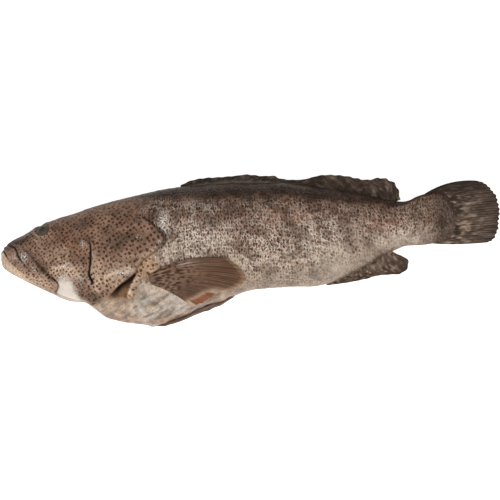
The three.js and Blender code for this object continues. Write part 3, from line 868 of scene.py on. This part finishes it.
# The belly's middle, where the pattern of one flank meets the other's: half the turn of the strip between.
BELLY_SEAM = 0.0005
# How far from the middle plane the two flanks blend, in per cent.
BLEND = 0.7
# How closely the rings stand at a place. [along, closeness]
CLOSENESS = [[0, 16], [0.6, 7], [2, 3.2], [34, 2.4], [40, 1], [91, 1]]
# Millimetres from one spot of the head to the next. [along, pitch]
SPOT_PITCH = [[0, 3.3], [5, 3.6], [12, 4.1], [18, 4.5], [26, 5.4], [33, 6.2], [91, 6.2]]
SCALE_PITCH = [[0, 2.8], [45, 2.8], [58, 3.4], [78, 3.4], [91, 2.6]]
SCALE_HEIGHT = 4.5
# How far the lattice of the spots is turned, so that no row of it shows.
SPOT_TURN = 0.5
# Where painted highlights stand, as glints on the slimy skin: along, high, half length, half height.
PAINTED_GLINT_PLACES = [
    (24.4, -5.15, 1.5, 0.3), (12.4, -2.85, 1.2, 0.35), (28.1, 1.4, 0.4, 0.25), (31.9, 0.2, 0.4, 0.25),
    (18.7, -1.1, 0.25, 0.4), (6.8, -2.7, 0.35, 0.4), (5, -0.2, 0.9, 0.8), (3, -0.2, 0.4, 0.3),
    (17, 1.2, 0.5, 0.6), (33, 4, 0.8, 1.6), (12.5, -4.8, 1, 0.5), (31, -2.9, 0.3, 0.6),
]
# Where the pale net is strongest: along, high, half length, half height, strength.
WHITE_PLACES = [
    (39, 0.2, 8, 5.4, 1), (33, 3.6, 1.6, 2.4, 1), (63, -1.5, 6, 4, 0.9), (78, -2, 7, 2, 0.7),
    (51, -2.5, 9, 5, 0.75),
]


def ring_places():
    fine = np.linspace(0, BODY_END, 4000)
    closeness = np.interp(fine, *zip(*CLOSENESS))
    passed = np.concatenate([[0], np.cumsum((closeness[1:] + closeness[:-1]) / 2)])
    return np.interp(np.arange(1, ALONG_STEPS + 1) / ALONG_STEPS, passed / passed[-1], fine)


def steps_from_snout(along, pitches):
    """The pitch at each place, and how many pitches lie between the snout and the place."""
    pitch = np.interp(along, *zip(*pitches))
    steps = np.diff(along) * MM_PER_CENT / ((pitch[1:] + pitch[:-1]) / 2)
    return pitch[:, None], np.concatenate([[0], np.cumsum(steps)])[:, None]


def skin_masks(along, high, near, head, shoulder, share):
    """How far the skin is spotted, scaly and netted, how strongly painted highlights show on it, and how
    mottled and smooth it is.
    """
    throat = throat_share(along, high, 0)
    lower_jaw = ease(near["mouth"][0], 0.5, -1.5) * ease(along, 9, 5)
    gill, gill_share = near["gill"]
    wall = part_of(gill_share, 0.1, 0.93) * bell(gill - 0.2, 1)
    spotted = np.maximum(head * ease(share, 0.02, 0.08), 0.95 * shoulder) * (1 - throat)
    spotted = spotted * (1 - 0.35 * lower_jaw) * (1 - 0.4 * ease(along, 4, 2)) * (1 - 0.85 * wall)

    body = (1 - head) * (1 - shoulder)
    breast = ease(share, 0.4, 0.22) * ease(along, 50, 42)
    low = ease(share + 0.14 * bell(along - 53, 9) + 0.05 * noise(along * 0.5, high, 61), 0.34, 0.1)
    scaly = body * ease(along, 24, 28) * (1 - 0.95 * breast) * (1 - 0.75 * low)
    scaly = scaly * (1 - 0.6 * ease(along, 84, 89.5)) * (1 - 0.15 * ease(along, 58, 66))
    white = 0
    for *where, strength in WHITE_PLACES:
        white = np.maximum(white, strength * spot(along, high, *where))
    dark_back = ease(back_line(along) - high, 1.3 * back_band(along), 0.6 * back_band(along))
    net = body * ease(along, 26, 30) * (1 - breast) * (0.3 + 0.7 * white) * (1 - 0.9 * dark_back)
    net = net * (1 - 0.3 * low) * (1 - 0.6 * ease(along, 83, 89))

    painted_glint = sum(spot(along, high, *where) for where in PAINTED_GLINT_PLACES)
    mottled = (1 + 0.25 * breast) * (1 - 0.6 * lower_jaw) * (1 - throat)
    smooth = np.maximum(0.7 * throat, 0.3 * breast)
    return np.stack([spotted, scaly, net], -1), np.stack([painted_glint, mottled, smooth], -1)


def painted_shade_lines(near):
    """For each line of painted shade: the distance from it, how dark it is and half its width, in
    millimetres.
    """
    gill, share = near["gill"]
    gap = part_of(share, GAP[0] + 0.02, GAP[1], 0.02)
    edge = part_of(share, 0.1, 0.9) * (1 - gap)
    tip = part_of(share, 0.24, 0.42)
    lines = {
        "gap": (gill - 1.9, gap, 1 + 1.2 * gap),
        "gill": (gill - 1.2, 0.55 * edge * (1 + 0.3 * tip), 1.5 + 2.2 * tip),
    }
    cheek, share = near["cheek"]
    width = 0.7 + 0.7 * ease(share, 0.12, 0.3) + 0.5 * ease(share, 0.4, 0.5)
    lines["cheek"] = (cheek - 0.5, part_of(share, 0.1, 0.7, 0.05), width)
    jaw, share = near["jaw"]
    lines["jaw"] = (jaw - 0.8, 0.85 * part_of(share, 0.62, 0.95, 0.05), 0.9)
    mouth, share = near["mouth"]
    fading = ease(share, 0.2, 0.36)
    lines["mouth"] = (mouth, (0.9 - 0.7 * fading) * ease(share, 0.95, 0.7), 1.4 - 0.4 * fading)
    lip, share = near["lip"]
    darkness = 0.9 * span(share, -0.1, 0.1, 0.85, 1) * (1 - 0.6 * ease(share, 0.5, 0.7))
    lines["lip"] = (lip, darkness, 1.6)
    rim, share = near["rim"]
    lines["rim"] = (rim, 0.45 * ease(share, 1, 0.7), 0.7)
    crease, share = near["crease"]
    lines["crease"] = (crease - 0.5, 0.8 * part_of(share, 0.15, 0.6, 0.12), 1)
    return {name: np.stack(np.broadcast_arrays(*values), -1) for name, values in lines.items()}


def skin_grid():
    """Rings of places round the trunk and head, as along, high and offset."""
    half = AROUND_STEPS // 2
    angle = 2 * np.pi * np.arange(AROUND_STEPS) / AROUND_STEPS
    angle[half:half + 2] = np.pi - BELLY_SEAM, np.pi + BELLY_SEAM
    along, angle = np.meshgrid(ring_places(), angle, indexing="ij")
    up, out = np.cos(angle), np.sin(angle)
    power = 2 / np.where(up >= 0, BACK_FULLNESS, BELLY_FULLNESS)
    level = girth_level(along)
    reach = np.where(up >= 0, back_line(along) - level, level - belly_line(along))
    high = level + reach * np.sign(up) * np.abs(up) ** power
    return along, high, half_width(along) * np.sign(out) * np.abs(out) ** power


def outward(wrapped):
    """Unit vectors out of rings of points, whose last and first point are repeated at the ends."""
    forwards = np.gradient(wrapped[:, 1:-1], axis=0)
    return unit(np.cross(wrapped[:, 2:] - wrapped[:, :-2], forwards))


def girth_from_back(wrapped):
    """How far round the girth each point lies from the back, in millimetres, below 0 on the right."""
    half = AROUND_STEPS // 2
    spacing = np.linalg.norm(wrapped[:, 2:] - wrapped[:, 1:-1], axis=-1) / MM
    left = np.cumsum(spacing[:, :half], axis=1)
    right = np.cumsum(spacing[:, :half:-1], axis=1)[:, ::-1]
    return np.hstack([np.zeros((ALONG_STEPS, 1)), left, -right])


def pattern_places(along, arc):
    """The lattices in which the head's spots and the scales stand."""
    pitch, run = steps_from_snout(along, SPOT_PITCH)
    around = arc / pitch
    c, s = math.cos(SPOT_TURN), math.sin(SPOT_TURN)
    spots_at = [run * c - around * s, run * s + around * c, 0 * arc]
    scales_at = [steps_from_snout(along, SCALE_PITCH)[1] + 0 * arc, arc / SCALE_HEIGHT, 0 * arc]
    return {"spots_at": np.stack(spots_at, -1), "scales_at": np.stack(scales_at, -1)}


def with_poles(grid):
    """A grid's values in a list, with its first and last one repeated for the poles."""
    return np.concatenate([grid[0, :1], grid.reshape(-1, 3), grid[-1, :1]])


def skin_piece(material):
    along, high, offset = skin_grid()
    base = place(along, high, offset)
    wrapped = np.hstack([base[:, -1:], base, base[:, :1]])
    near = lines_near(along, high)
    leftness = ease(offset, -BLEND, BLEND)
    heights = leftness * relief(along, high, near, LEFT) + (1 - leftness) * relief(along, high, near, RIGHT)
    points = with_poles(pressed_flat(base + outward(wrapped) * heights[..., None] * MM))
    for pole, x in (0, 0), (-1, BODY_END):
        points[pole] = pressed_flat(place(x, girth_level(x), 0))

    arc = girth_from_back(wrapped)
    down = np.abs(arc) / MM_PER_CENT
    coat, head, shoulder, share = skin_colours(along, high, down, near, LEFT)
    coat.mix(skin_colours(along, high, down, near, RIGHT)[0].colours, 1 - leftness)

    piece = add_piece("grouper_skin", points, ring_faces(ALONG_STEPS, AROUND_STEPS), material)
    add_colours(piece, with_poles(coat.colours))
    vectors = pattern_places(along[:, 0], arc)
    vectors["masks"], vectors["skin"] = skin_masks(along, high, near, head, shoulder, share)
    for name, values in painted_shade_lines(near).items():
        vectors[name + "_line"] = values
    for name, values in vectors.items():
        add_vectors(piece, name, with_poles(values))
    return piece


# ---- Fins ----
PER_RAY = 8
OUT_STEPS = 36
# Millimetres: half the thickness at the rim, the least thickness, the least height of the hidden breast
# fin above the board, and how far a fin waves.
EDGE_HALF = 0.35
THINNEST = 0.3
ABOVE_BOARD = 0.1
WAVE = 0.6


def fin_grid(fin, seed, ragged):
    """A fin's places, with the share of the way across it and out along each ray, and the ray's number."""
    last = fin["rays"] - 1
    t, s = np.meshgrid(np.linspace(0, 1, last * PER_RAY + 1), np.linspace(0, 1, OUT_STEPS + 1), indexing="ij")
    ray = t * last
    root, bend, margin = (on_line(fin[key], t) for key in ("root", "bend", "margin"))
    draw = np.random.default_rng(seed).uniform(0, 1, last + 2)
    cut = np.interp(ray, np.arange(last + 2), draw)
    between = np.sin(np.pi * ray) ** 2
    S = (s * (1 - ragged * (0.35 * cut + 0.65 * between * (0.4 + 0.6 * cut))))[..., None]
    places = (1 - S) ** 2 * root + 2 * S * (1 - S) * bend + S**2 * margin
    return places[..., 0], places[..., 1], t, s, ray


def ray_ridge(ray, s):
    """1 on a ray and 0 between two, with each ray forked in its outer half."""
    single = np.cos(np.pi * ray) ** 4
    forked = np.cos(2 * np.pi * ray) ** 4
    fork = ease(s, 0.45, 0.75)
    return single * (1 - fork) + forked * fork * 0.7


def slab_piece(name, upper, lower, coat, fin_at, material):
    """A thin closed piece between two grids of points."""
    above = np.arange(upper[..., 0].size).reshape(upper.shape[:2])
    rim = np.concatenate([above[:, 0], above[-1, 1:], above[-2::-1, -1], above[0, -2::-1]])
    grids = above.T, above + above.size, np.stack([rim, rim + above.size], 1)
    faces = sum((grid_faces(grid) for grid in grids), [])
    points = np.concatenate([upper.reshape(-1, 3), lower.reshape(-1, 3)])
    a, b, c = (points[[face[i] for face in faces]] for i in range(3))
    if (a * np.cross(b, c)).sum() < 0:
        faces = [face[::-1] for face in faces]
    piece = add_piece(name, points, faces, material)
    add_colours(piece, np.concatenate([coat.colours] * 2))
    add_vectors(piece, "fin_at", np.concatenate([np.stack(fin_at, -1)] * 2))


DARK_FIN = (44, 35, 29)
MID_FIN = (66, 53, 45)
PALE_FIN = (116, 99, 86)
DARK_STREAK = (34, 26, 21)
SPECK = (166, 148, 134)
PALE_TAIL_RAY = (142, 122, 107)
TAIL_MID = (84, 68, 57)
TAIL_TOP = (44, 34, 28)
ANAL_FIN_BASE = (84, 66, 55)
BREAST_FIN = (120, 93, 76)
BREAST_FIN_ROOT = (150, 122, 102)
BREAST_FIN_OUTER = (88, 60, 42)
BREAST_FIN_RIM = (176, 142, 104)
BREAST_FIN_DARK = (62, 41, 30)
BREAST_FIN_SPOT = (58, 39, 29)
ORANGE_EDGE = (118, 70, 46)
PELVIC = (92, 70, 56)
BASE_LINE = (112, 104, 96)


def middle_fin(name, fin, paint_fin, material, seed, ragged, root_half=1.5):
    """A fin in the fish's middle plane, waved a little and kept above the board."""
    along, high, t, s, ray = fin_grid(fin, seed, ragged)
    ridge = ray_ridge(ray, s)
    half = (root_half + (EDGE_HALF - root_half) * s**0.7) * (0.45 + 0.55 * ridge)
    swell = WAVE * noise(t * fin["rays"] * 0.35, s * 2.2, seed + 3) * ease(s, 0.1, 0.8)
    upper, lower = place(along, high, 0 * t), place(along, high, 0 * t)
    upper[..., 2] += (swell + half) * MM
    lower[..., 2] += (swell - half) * MM
    pressed_flat(upper)
    pressed_flat(lower)
    lower[..., 2] = np.minimum(lower[..., 2], upper[..., 2] - THINNEST * MM)
    sunk = min(0, lower[..., 2].min())
    upper[..., 2] -= sunk
    lower[..., 2] -= sunk
    slab_piece(name, upper, lower, paint_fin(t, s, ray, ridge, seed), [ray * 1.6, s * 4, 0 * s], material)


def dorsal_coat(t, s, ray, ridge, seed):
    leaning = ray + 5 * s * ease(t, 0.5, 0.65)
    coat = Coat(DARK_FIN, t)
    coat.add(MID_FIN, 0.7 * ease(t, 0.45, 0.65) * (0.4 + 0.6 * ease(s, 0.1, 0.5)))
    coat.streak(leaning, s * 0.7, seed, PALE_FIN, DARK_STREAK, 0.8)
    specks = noise(leaning * 4.3, s * 7, seed + 5)
    rear = ease(t, 0.75, 0.95) * ease(s, 0.1, 0.4)
    coat.add(SPECK, 0.55 * np.clip(1.8 * specks - 0.5, 0, 1) * rear)
    coat.add(PALE_FIN, 0.3 * ridge * ease(s, 0.2, 0.6) * ease(t, 0.6, 0.4))
    coat.add(BASE_LINE, 0.75 * bell(s - 0.42, 0.12) * ease(t, 0.6, 0.4))
    return coat


def anal_coat(t, s, ray, ridge, seed):
    coat = Coat(ANAL_FIN_BASE, t)
    coat.add(DARK_FIN, 0.5 * ease(s, 0.4, 1))
    coat.streak(ray + 3 * s, s * 0.6, seed, PALE_FIN, DARK_FIN, 0.85)
    specks = noise(ray * 4.3 + 8 * s, s * 7, seed + 5)
    coat.add(SPECK, 0.7 * np.clip(1.8 * specks - 0.4, 0, 1) * ease(s, 1, 0.6))
    return coat


def tail_coat(t, s, ray, ridge, seed):
    coat = Coat(TAIL_MID, t)
    coat.add(DARK_FIN, 0.7 * ease(s, 0.78, 1) * (0.5 + 0.5 * ease(t, 0.6, 0.9)))
    coat.add(DARK_FIN, 0.6 * ease(s + 0.12 * noise(ray * 0.5, s * 4, seed + 2), 0.62, 0.4))
    specks = noise(ray * 2.1, s * 17, seed + 5) + 0.6 * noise(ray * 4.3, s * 31, seed + 6)
    middle = span(s, 0.28, 0.5, 0.65, 0.95)
    coat.add(SPECK, 0.95 * np.clip(2 * specks - 0.25, 0, 1) * middle)
    coat.add(DARK_STREAK, 0.7 * np.clip(-1.6 * specks - 0.1, 0, 1) * middle)
    coat.streak(ray * 1.5, s, seed, PALE_TAIL_RAY, DARK_FIN, 0.75)
    coat.add(PALE_TAIL_RAY, 0.45 * ridge * ease(s, 0.42, 0.6) * (1 - 0.6 * ease(s, 0.85, 1)))
    coat.add(DARK_FIN, 0.6 * (1 - ridge) * ease(s, 0.5, 0.7))
    coat.add(TAIL_TOP, 0.85 * ease(t + 0.05 * noise(ray, s * 9, seed + 7), 0.36, 0.04))
    return coat


def root_blotches(t, s, seed):
    """Long dark blotches from the root of the breast fin to past its middle."""
    draw = np.random.default_rng(seed)
    found = 0 * t
    for out in np.linspace(0.08, 0.68, 11):
        for step in range(8):
            across_at = (step + 0.5 + draw.uniform(-0.35, 0.35)) / 8
            out_at = out + draw.uniform(-0.025, 0.025)
            size = draw.uniform(0.9, 1.35) * (1.15 - 0.7 * out)
            away = np.hypot((t - across_at) / (0.055 * size), (s - out_at) / (0.026 * size))
            found = np.maximum(found, ease(away, 1.1, 0.5))
    return found * ease(s, 0.02, 0.07) * (1 - 0.6 * ease(s, 0.4, 0.65))


def pectoral_coat(t, s, ray, ridge, seed):
    coat = Coat(BREAST_FIN, t)
    coat.add(BREAST_FIN_ROOT, 0.9 * ease(s + 0.15 * noise(ray * 0.4, s * 3, seed), 0.4, 0.16))
    coat.add(BREAST_FIN_OUTER, ease(s, 0.5, 0.85))
    coat.add(BREAST_FIN_DARK, 0.35 * ease(t, 0.35, 0.7) * bell(s - 0.5, 0.3))
    coat.streak(ray * 1.6, s * 0.8, seed, BREAST_FIN_ROOT, BREAST_FIN_DARK, 0.4)
    coat.add(BREAST_FIN_SPOT, 0.95 * root_blotches(t, s, seed))
    coat.add(BREAST_FIN_DARK, 0.5 * (1 - ridge) * ease(s, 0.4, 0.65))
    coat.add(TAN, 0.12 * ridge * ease(s, 0.6, 0.8))
    # Painted highlights: pale glints on the fin's upper rays.
    glints = bell(t - 0.1, 0.05) * bell(s - 0.48, 0.1) * ease(noise(ray * 3, s * 14, seed + 9), 0, 0.4)
    coat.add(BREAST_GREY, 0.7 * glints)
    coat.add(BREAST_FIN_RIM, 0.45 * ease(s, 0.95, 0.99) * ease(t, 0.8, 0.5))
    coat.add(TAN, 0.75 * ease(t, 0.5, 0.7) * ease(s, 0.72, 0.9))
    coat.add(ORANGE_EDGE, 0.95 * span(t, 0.66, 0.72, 0.94, 0.97) * ease(s, 0.84, 0.87))
    return coat


def lying_height(along, high, side):
    """The skin's relief below a fin that lies on it and bridges the hollows, in millimetres."""
    return np.maximum(relief(along, high, lines_near(along, high), side), -0.3)


def pectoral_piece(name, side, material, seed):
    along, high, t, s, ray = fin_grid(PECTORAL_FIN, seed, 0.035)
    ridge = ray_ridge(ray, s)
    thick = (1.6 - 1.1 * s**0.6) * (0.5 + 0.5 * ridge)
    stand = 2 * ease(s, 0, 0.15) * (1 - 0.7 * ease(s, 0.2, 0.7)) + 0.3 - 1.3 * ease(s, 0.12, 0)
    stand = stand + 0.3 * noise(t * 4, s * 3, seed + 3) * ease(s, 0.2, 0.5)
    flush = ease(t, 0.8, 1) * ease(s, 1, 0.6) + ease(t, 0.12, 0) * ease(s, 0.5, 0.2)
    stand = 0.1 + (stand - 0.1) * (1 - 0.85 * np.clip(flush, 0, 1))

    def raised(height):
        height = height + lying_height(along, high, side)
        points = on_flank(along, high, side) + flank_normals(along, high, side) * height[..., None] * MM
        return pressed_flat(points, 0.8 * MM)

    lower, upper = raised(stand), raised(stand + thick)
    if side == RIGHT:
        # Here the fin's upper side, the outer one, faces the board.
        upper[..., 2] = np.maximum(upper[..., 2], ABOVE_BOARD * MM)
        lower[..., 2] = np.maximum(lower[..., 2], upper[..., 2] + THINNEST * MM)
    coat = pectoral_coat(t, s, ray, ridge, seed)
    slab_piece(name, upper, lower, coat, [ray * 3.2, s * 2, 0 * s], material)


def pelvic_piece(name, side, material, seed):
    along, offset, t, s, ray = fin_grid(PELVIC_FIN, seed, 0.04)
    thick = (2.2 - 1.5 * s**0.6) * (0.5 + 0.5 * ray_ridge(ray, s)) / MM_PER_CENT
    thick = thick * (0.3 + 0.7 * ease(s, 0, 0.2))
    stand = 0.05 + 0.06 * ease(s, 0.1, 0.3) - 0.25 * ease(s, 0.15, 0)
    skin = belly_skin(along, offset)
    skin = skin - lying_height(along, skin, side) / MM_PER_CENT
    upper = pressed_flat(place(along, skin - stand - thick, side * offset))
    lower = pressed_flat(place(along, skin - stand, side * offset))
    coat = Coat(PELVIC, t)
    coat.add(DARK_FIN, 0.6 * ease(s, 0.3, 0.9))
    coat.streak(ray, s, seed, BREAST_FIN_ROOT, DARK_FIN, 0.6)
    slab_piece(name, upper, lower, coat, [ray * 1.8, s * 5, 0 * s], material)


# ---- Eyes ----
PUPIL = (52, 50, 47)
IRIS = (78, 72, 64)
EYE_RIM = (92, 76, 63)
EYE_RINGS = 40
EYE_AROUND = 56


def eye_piece(name, side, material):
    normal = flank_normals(*EYE, side, 0.05)
    beside = unit(np.cross(normal, [1, 0, 0]))
    turns = 2 * np.pi * np.arange(EYE_AROUND) / EYE_AROUND
    tilt, turn = np.meshgrid(np.linspace(0, np.pi, EYE_RINGS + 2), turns, indexing="ij")
    # Of the first and the last ring, which are poles, only one point each is kept.
    kept = slice(EYE_AROUND - 1, 1 - EYE_AROUND)
    out, up, turn = (np.ravel(values)[kept, None] for values in (np.sin(tilt), np.cos(tilt), turn))
    spokes = np.cos(turn) * beside + np.sin(turn) * np.cross(normal, beside)
    centre = on_flank(*EYE, side) - normal * EYE_SINK
    points = centre + out * EYE_RADIUS * spokes + up * EYE_HALF_DEPTH * normal
    faces = [face[::-1] for face in ring_faces(EYE_RINGS, EYE_AROUND)]
    piece = add_piece(name, points, faces, material)
    from_middle = out[:, 0] * EYE_RADIUS / MM
    coat = Coat(PUPIL, from_middle)
    coat.add(IRIS, ease(from_middle, 3.4, 4.4))
    coat.add(EYE_RIM, ease(from_middle, 6.3, 7.2))
    coat.add(IRIS, up[:, 0] < 0)
    add_colours(piece, coat.colours)
    return piece


# ---- Build ----
skin = skin_material()
fins = fin_material()
eyes = eye_material()

grouper = skin_piece(skin)
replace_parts(grouper, "grouper")
middle_fin("dorsal_fin", DORSAL_FIN, dorsal_coat, fins, seed=31, ragged=0.1, root_half=1.6)
middle_fin("anal_fin", ANAL_FIN, anal_coat, fins, seed=41, ragged=0.06)
middle_fin("tail_fin", TAIL_FIN, tail_coat, fins, seed=51, ragged=0.035, root_half=1.9)
pectoral_piece("pectoral_fin_left", LEFT, fins, seed=61)
pectoral_piece("pectoral_fin_right", RIGHT, fins, seed=71)
pelvic_piece("pelvic_fin_left", LEFT, fins, seed=81)
pelvic_piece("pelvic_fin_right", RIGHT, fins, seed=91)
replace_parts(eye_piece("eyeball_left", LEFT, eyes), "eye_left")
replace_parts(eye_piece("eyeball_right", RIGHT, eyes), "eye_right")


# ---- Floor, lights and camera ----
FLOOR_HALF = 6
FLOOR_TONE = 0.93
FLOOR_GLOW = 0.7
WARM_WHITE = (1, 0.972, 0.94, 1)
SKY_LIGHT = 0.33
# Round lights: name, position and size in metres, and power in watts.
LIGHTS = [
    ("key", (-0.3, -1.3, 1.5), 1.2, 21),
    ("overhead", (0.1, 0, 2.2), 1.6, 16),
    ("fill", (0.6, 1.6, 1.2), 1.4, 2),
]
# The photo's tilt in its plane and the camera's elevation in degrees, and how large the photo shows the fish.
PHOTO_TILT = 5.377
ELEVATION = 88.92
PHOTO_PIXELS = 500
MM_PER_PIXEL = 1.18785
CAMERA_DISTANCE = 2.717
FRAME_MIDDLE = (-0.00421, -0.00496, 0.036)


def floor_piece():
    g = Graph("pale_floor")
    levels = {"Roughness": 0.9, "Emission Color": (1, 1, 1, 1), "Emission Strength": FLOOR_GLOW}
    levels["Base Color"] = (FLOOR_TONE, FLOOR_TONE, FLOOR_TONE, 1)
    for name, level in levels.items():
        g.shader.inputs[name].default_value = level
    corners = [(x * FLOOR_HALF, y * FLOOR_HALF, 0) for x, y in ((-1, -1), (1, -1), (1, 1), (-1, 1))]
    piece = add_mesh("floor", corners, [(0, 1, 2, 3)], g.material)
    piece.location.z = -0.2 * MM


def area_light(name, position, size, power):
    """A round light that points at the fish's middle."""
    light = bpy.data.lights.new(name, "AREA")
    light.shape = "DISK"
    light.size = size
    light.energy = power
    light.color = WARM_WHITE[:3]
    lamp = add_object(name, light)
    lamp.location = position
    lamp.rotation_euler = (-Vector(position)).to_track_quat("-Z", "Y").to_euler()


def sky():
    world = bpy.data.worlds.new("world")
    world.use_nodes = True
    background = world.node_tree.nodes["Background"]
    background.inputs["Color"].default_value = WARM_WHITE
    background.inputs["Strength"].default_value = SKY_LIGHT
    bpy.context.scene.world = world


def set_camera():
    """Looks down on the fish, turned in the picture's plane so that the fish climbs to the right."""
    data = bpy.data.cameras.new("camera")
    data.lens = data.sensor_width * CAMERA_DISTANCE / (PHOTO_PIXELS * MM_PER_PIXEL * MM)
    data.clip_end = 50
    camera = add_object("camera", data)
    camera.rotation_mode = "ZYX"
    camera.rotation_euler = (math.radians(90 - ELEVATION), 0, -math.radians(PHOTO_TILT))
    back = camera.rotation_euler.to_matrix() @ Vector((0, 0, CAMERA_DISTANCE))
    camera.location = Vector(FRAME_MIDDLE) + back
    bpy.context.scene.camera = camera


floor_piece()
for light in LIGHTS:
    area_light(*light)
sky()
bpy.context.scene.view_settings.view_transform = "Standard"
set_camera()
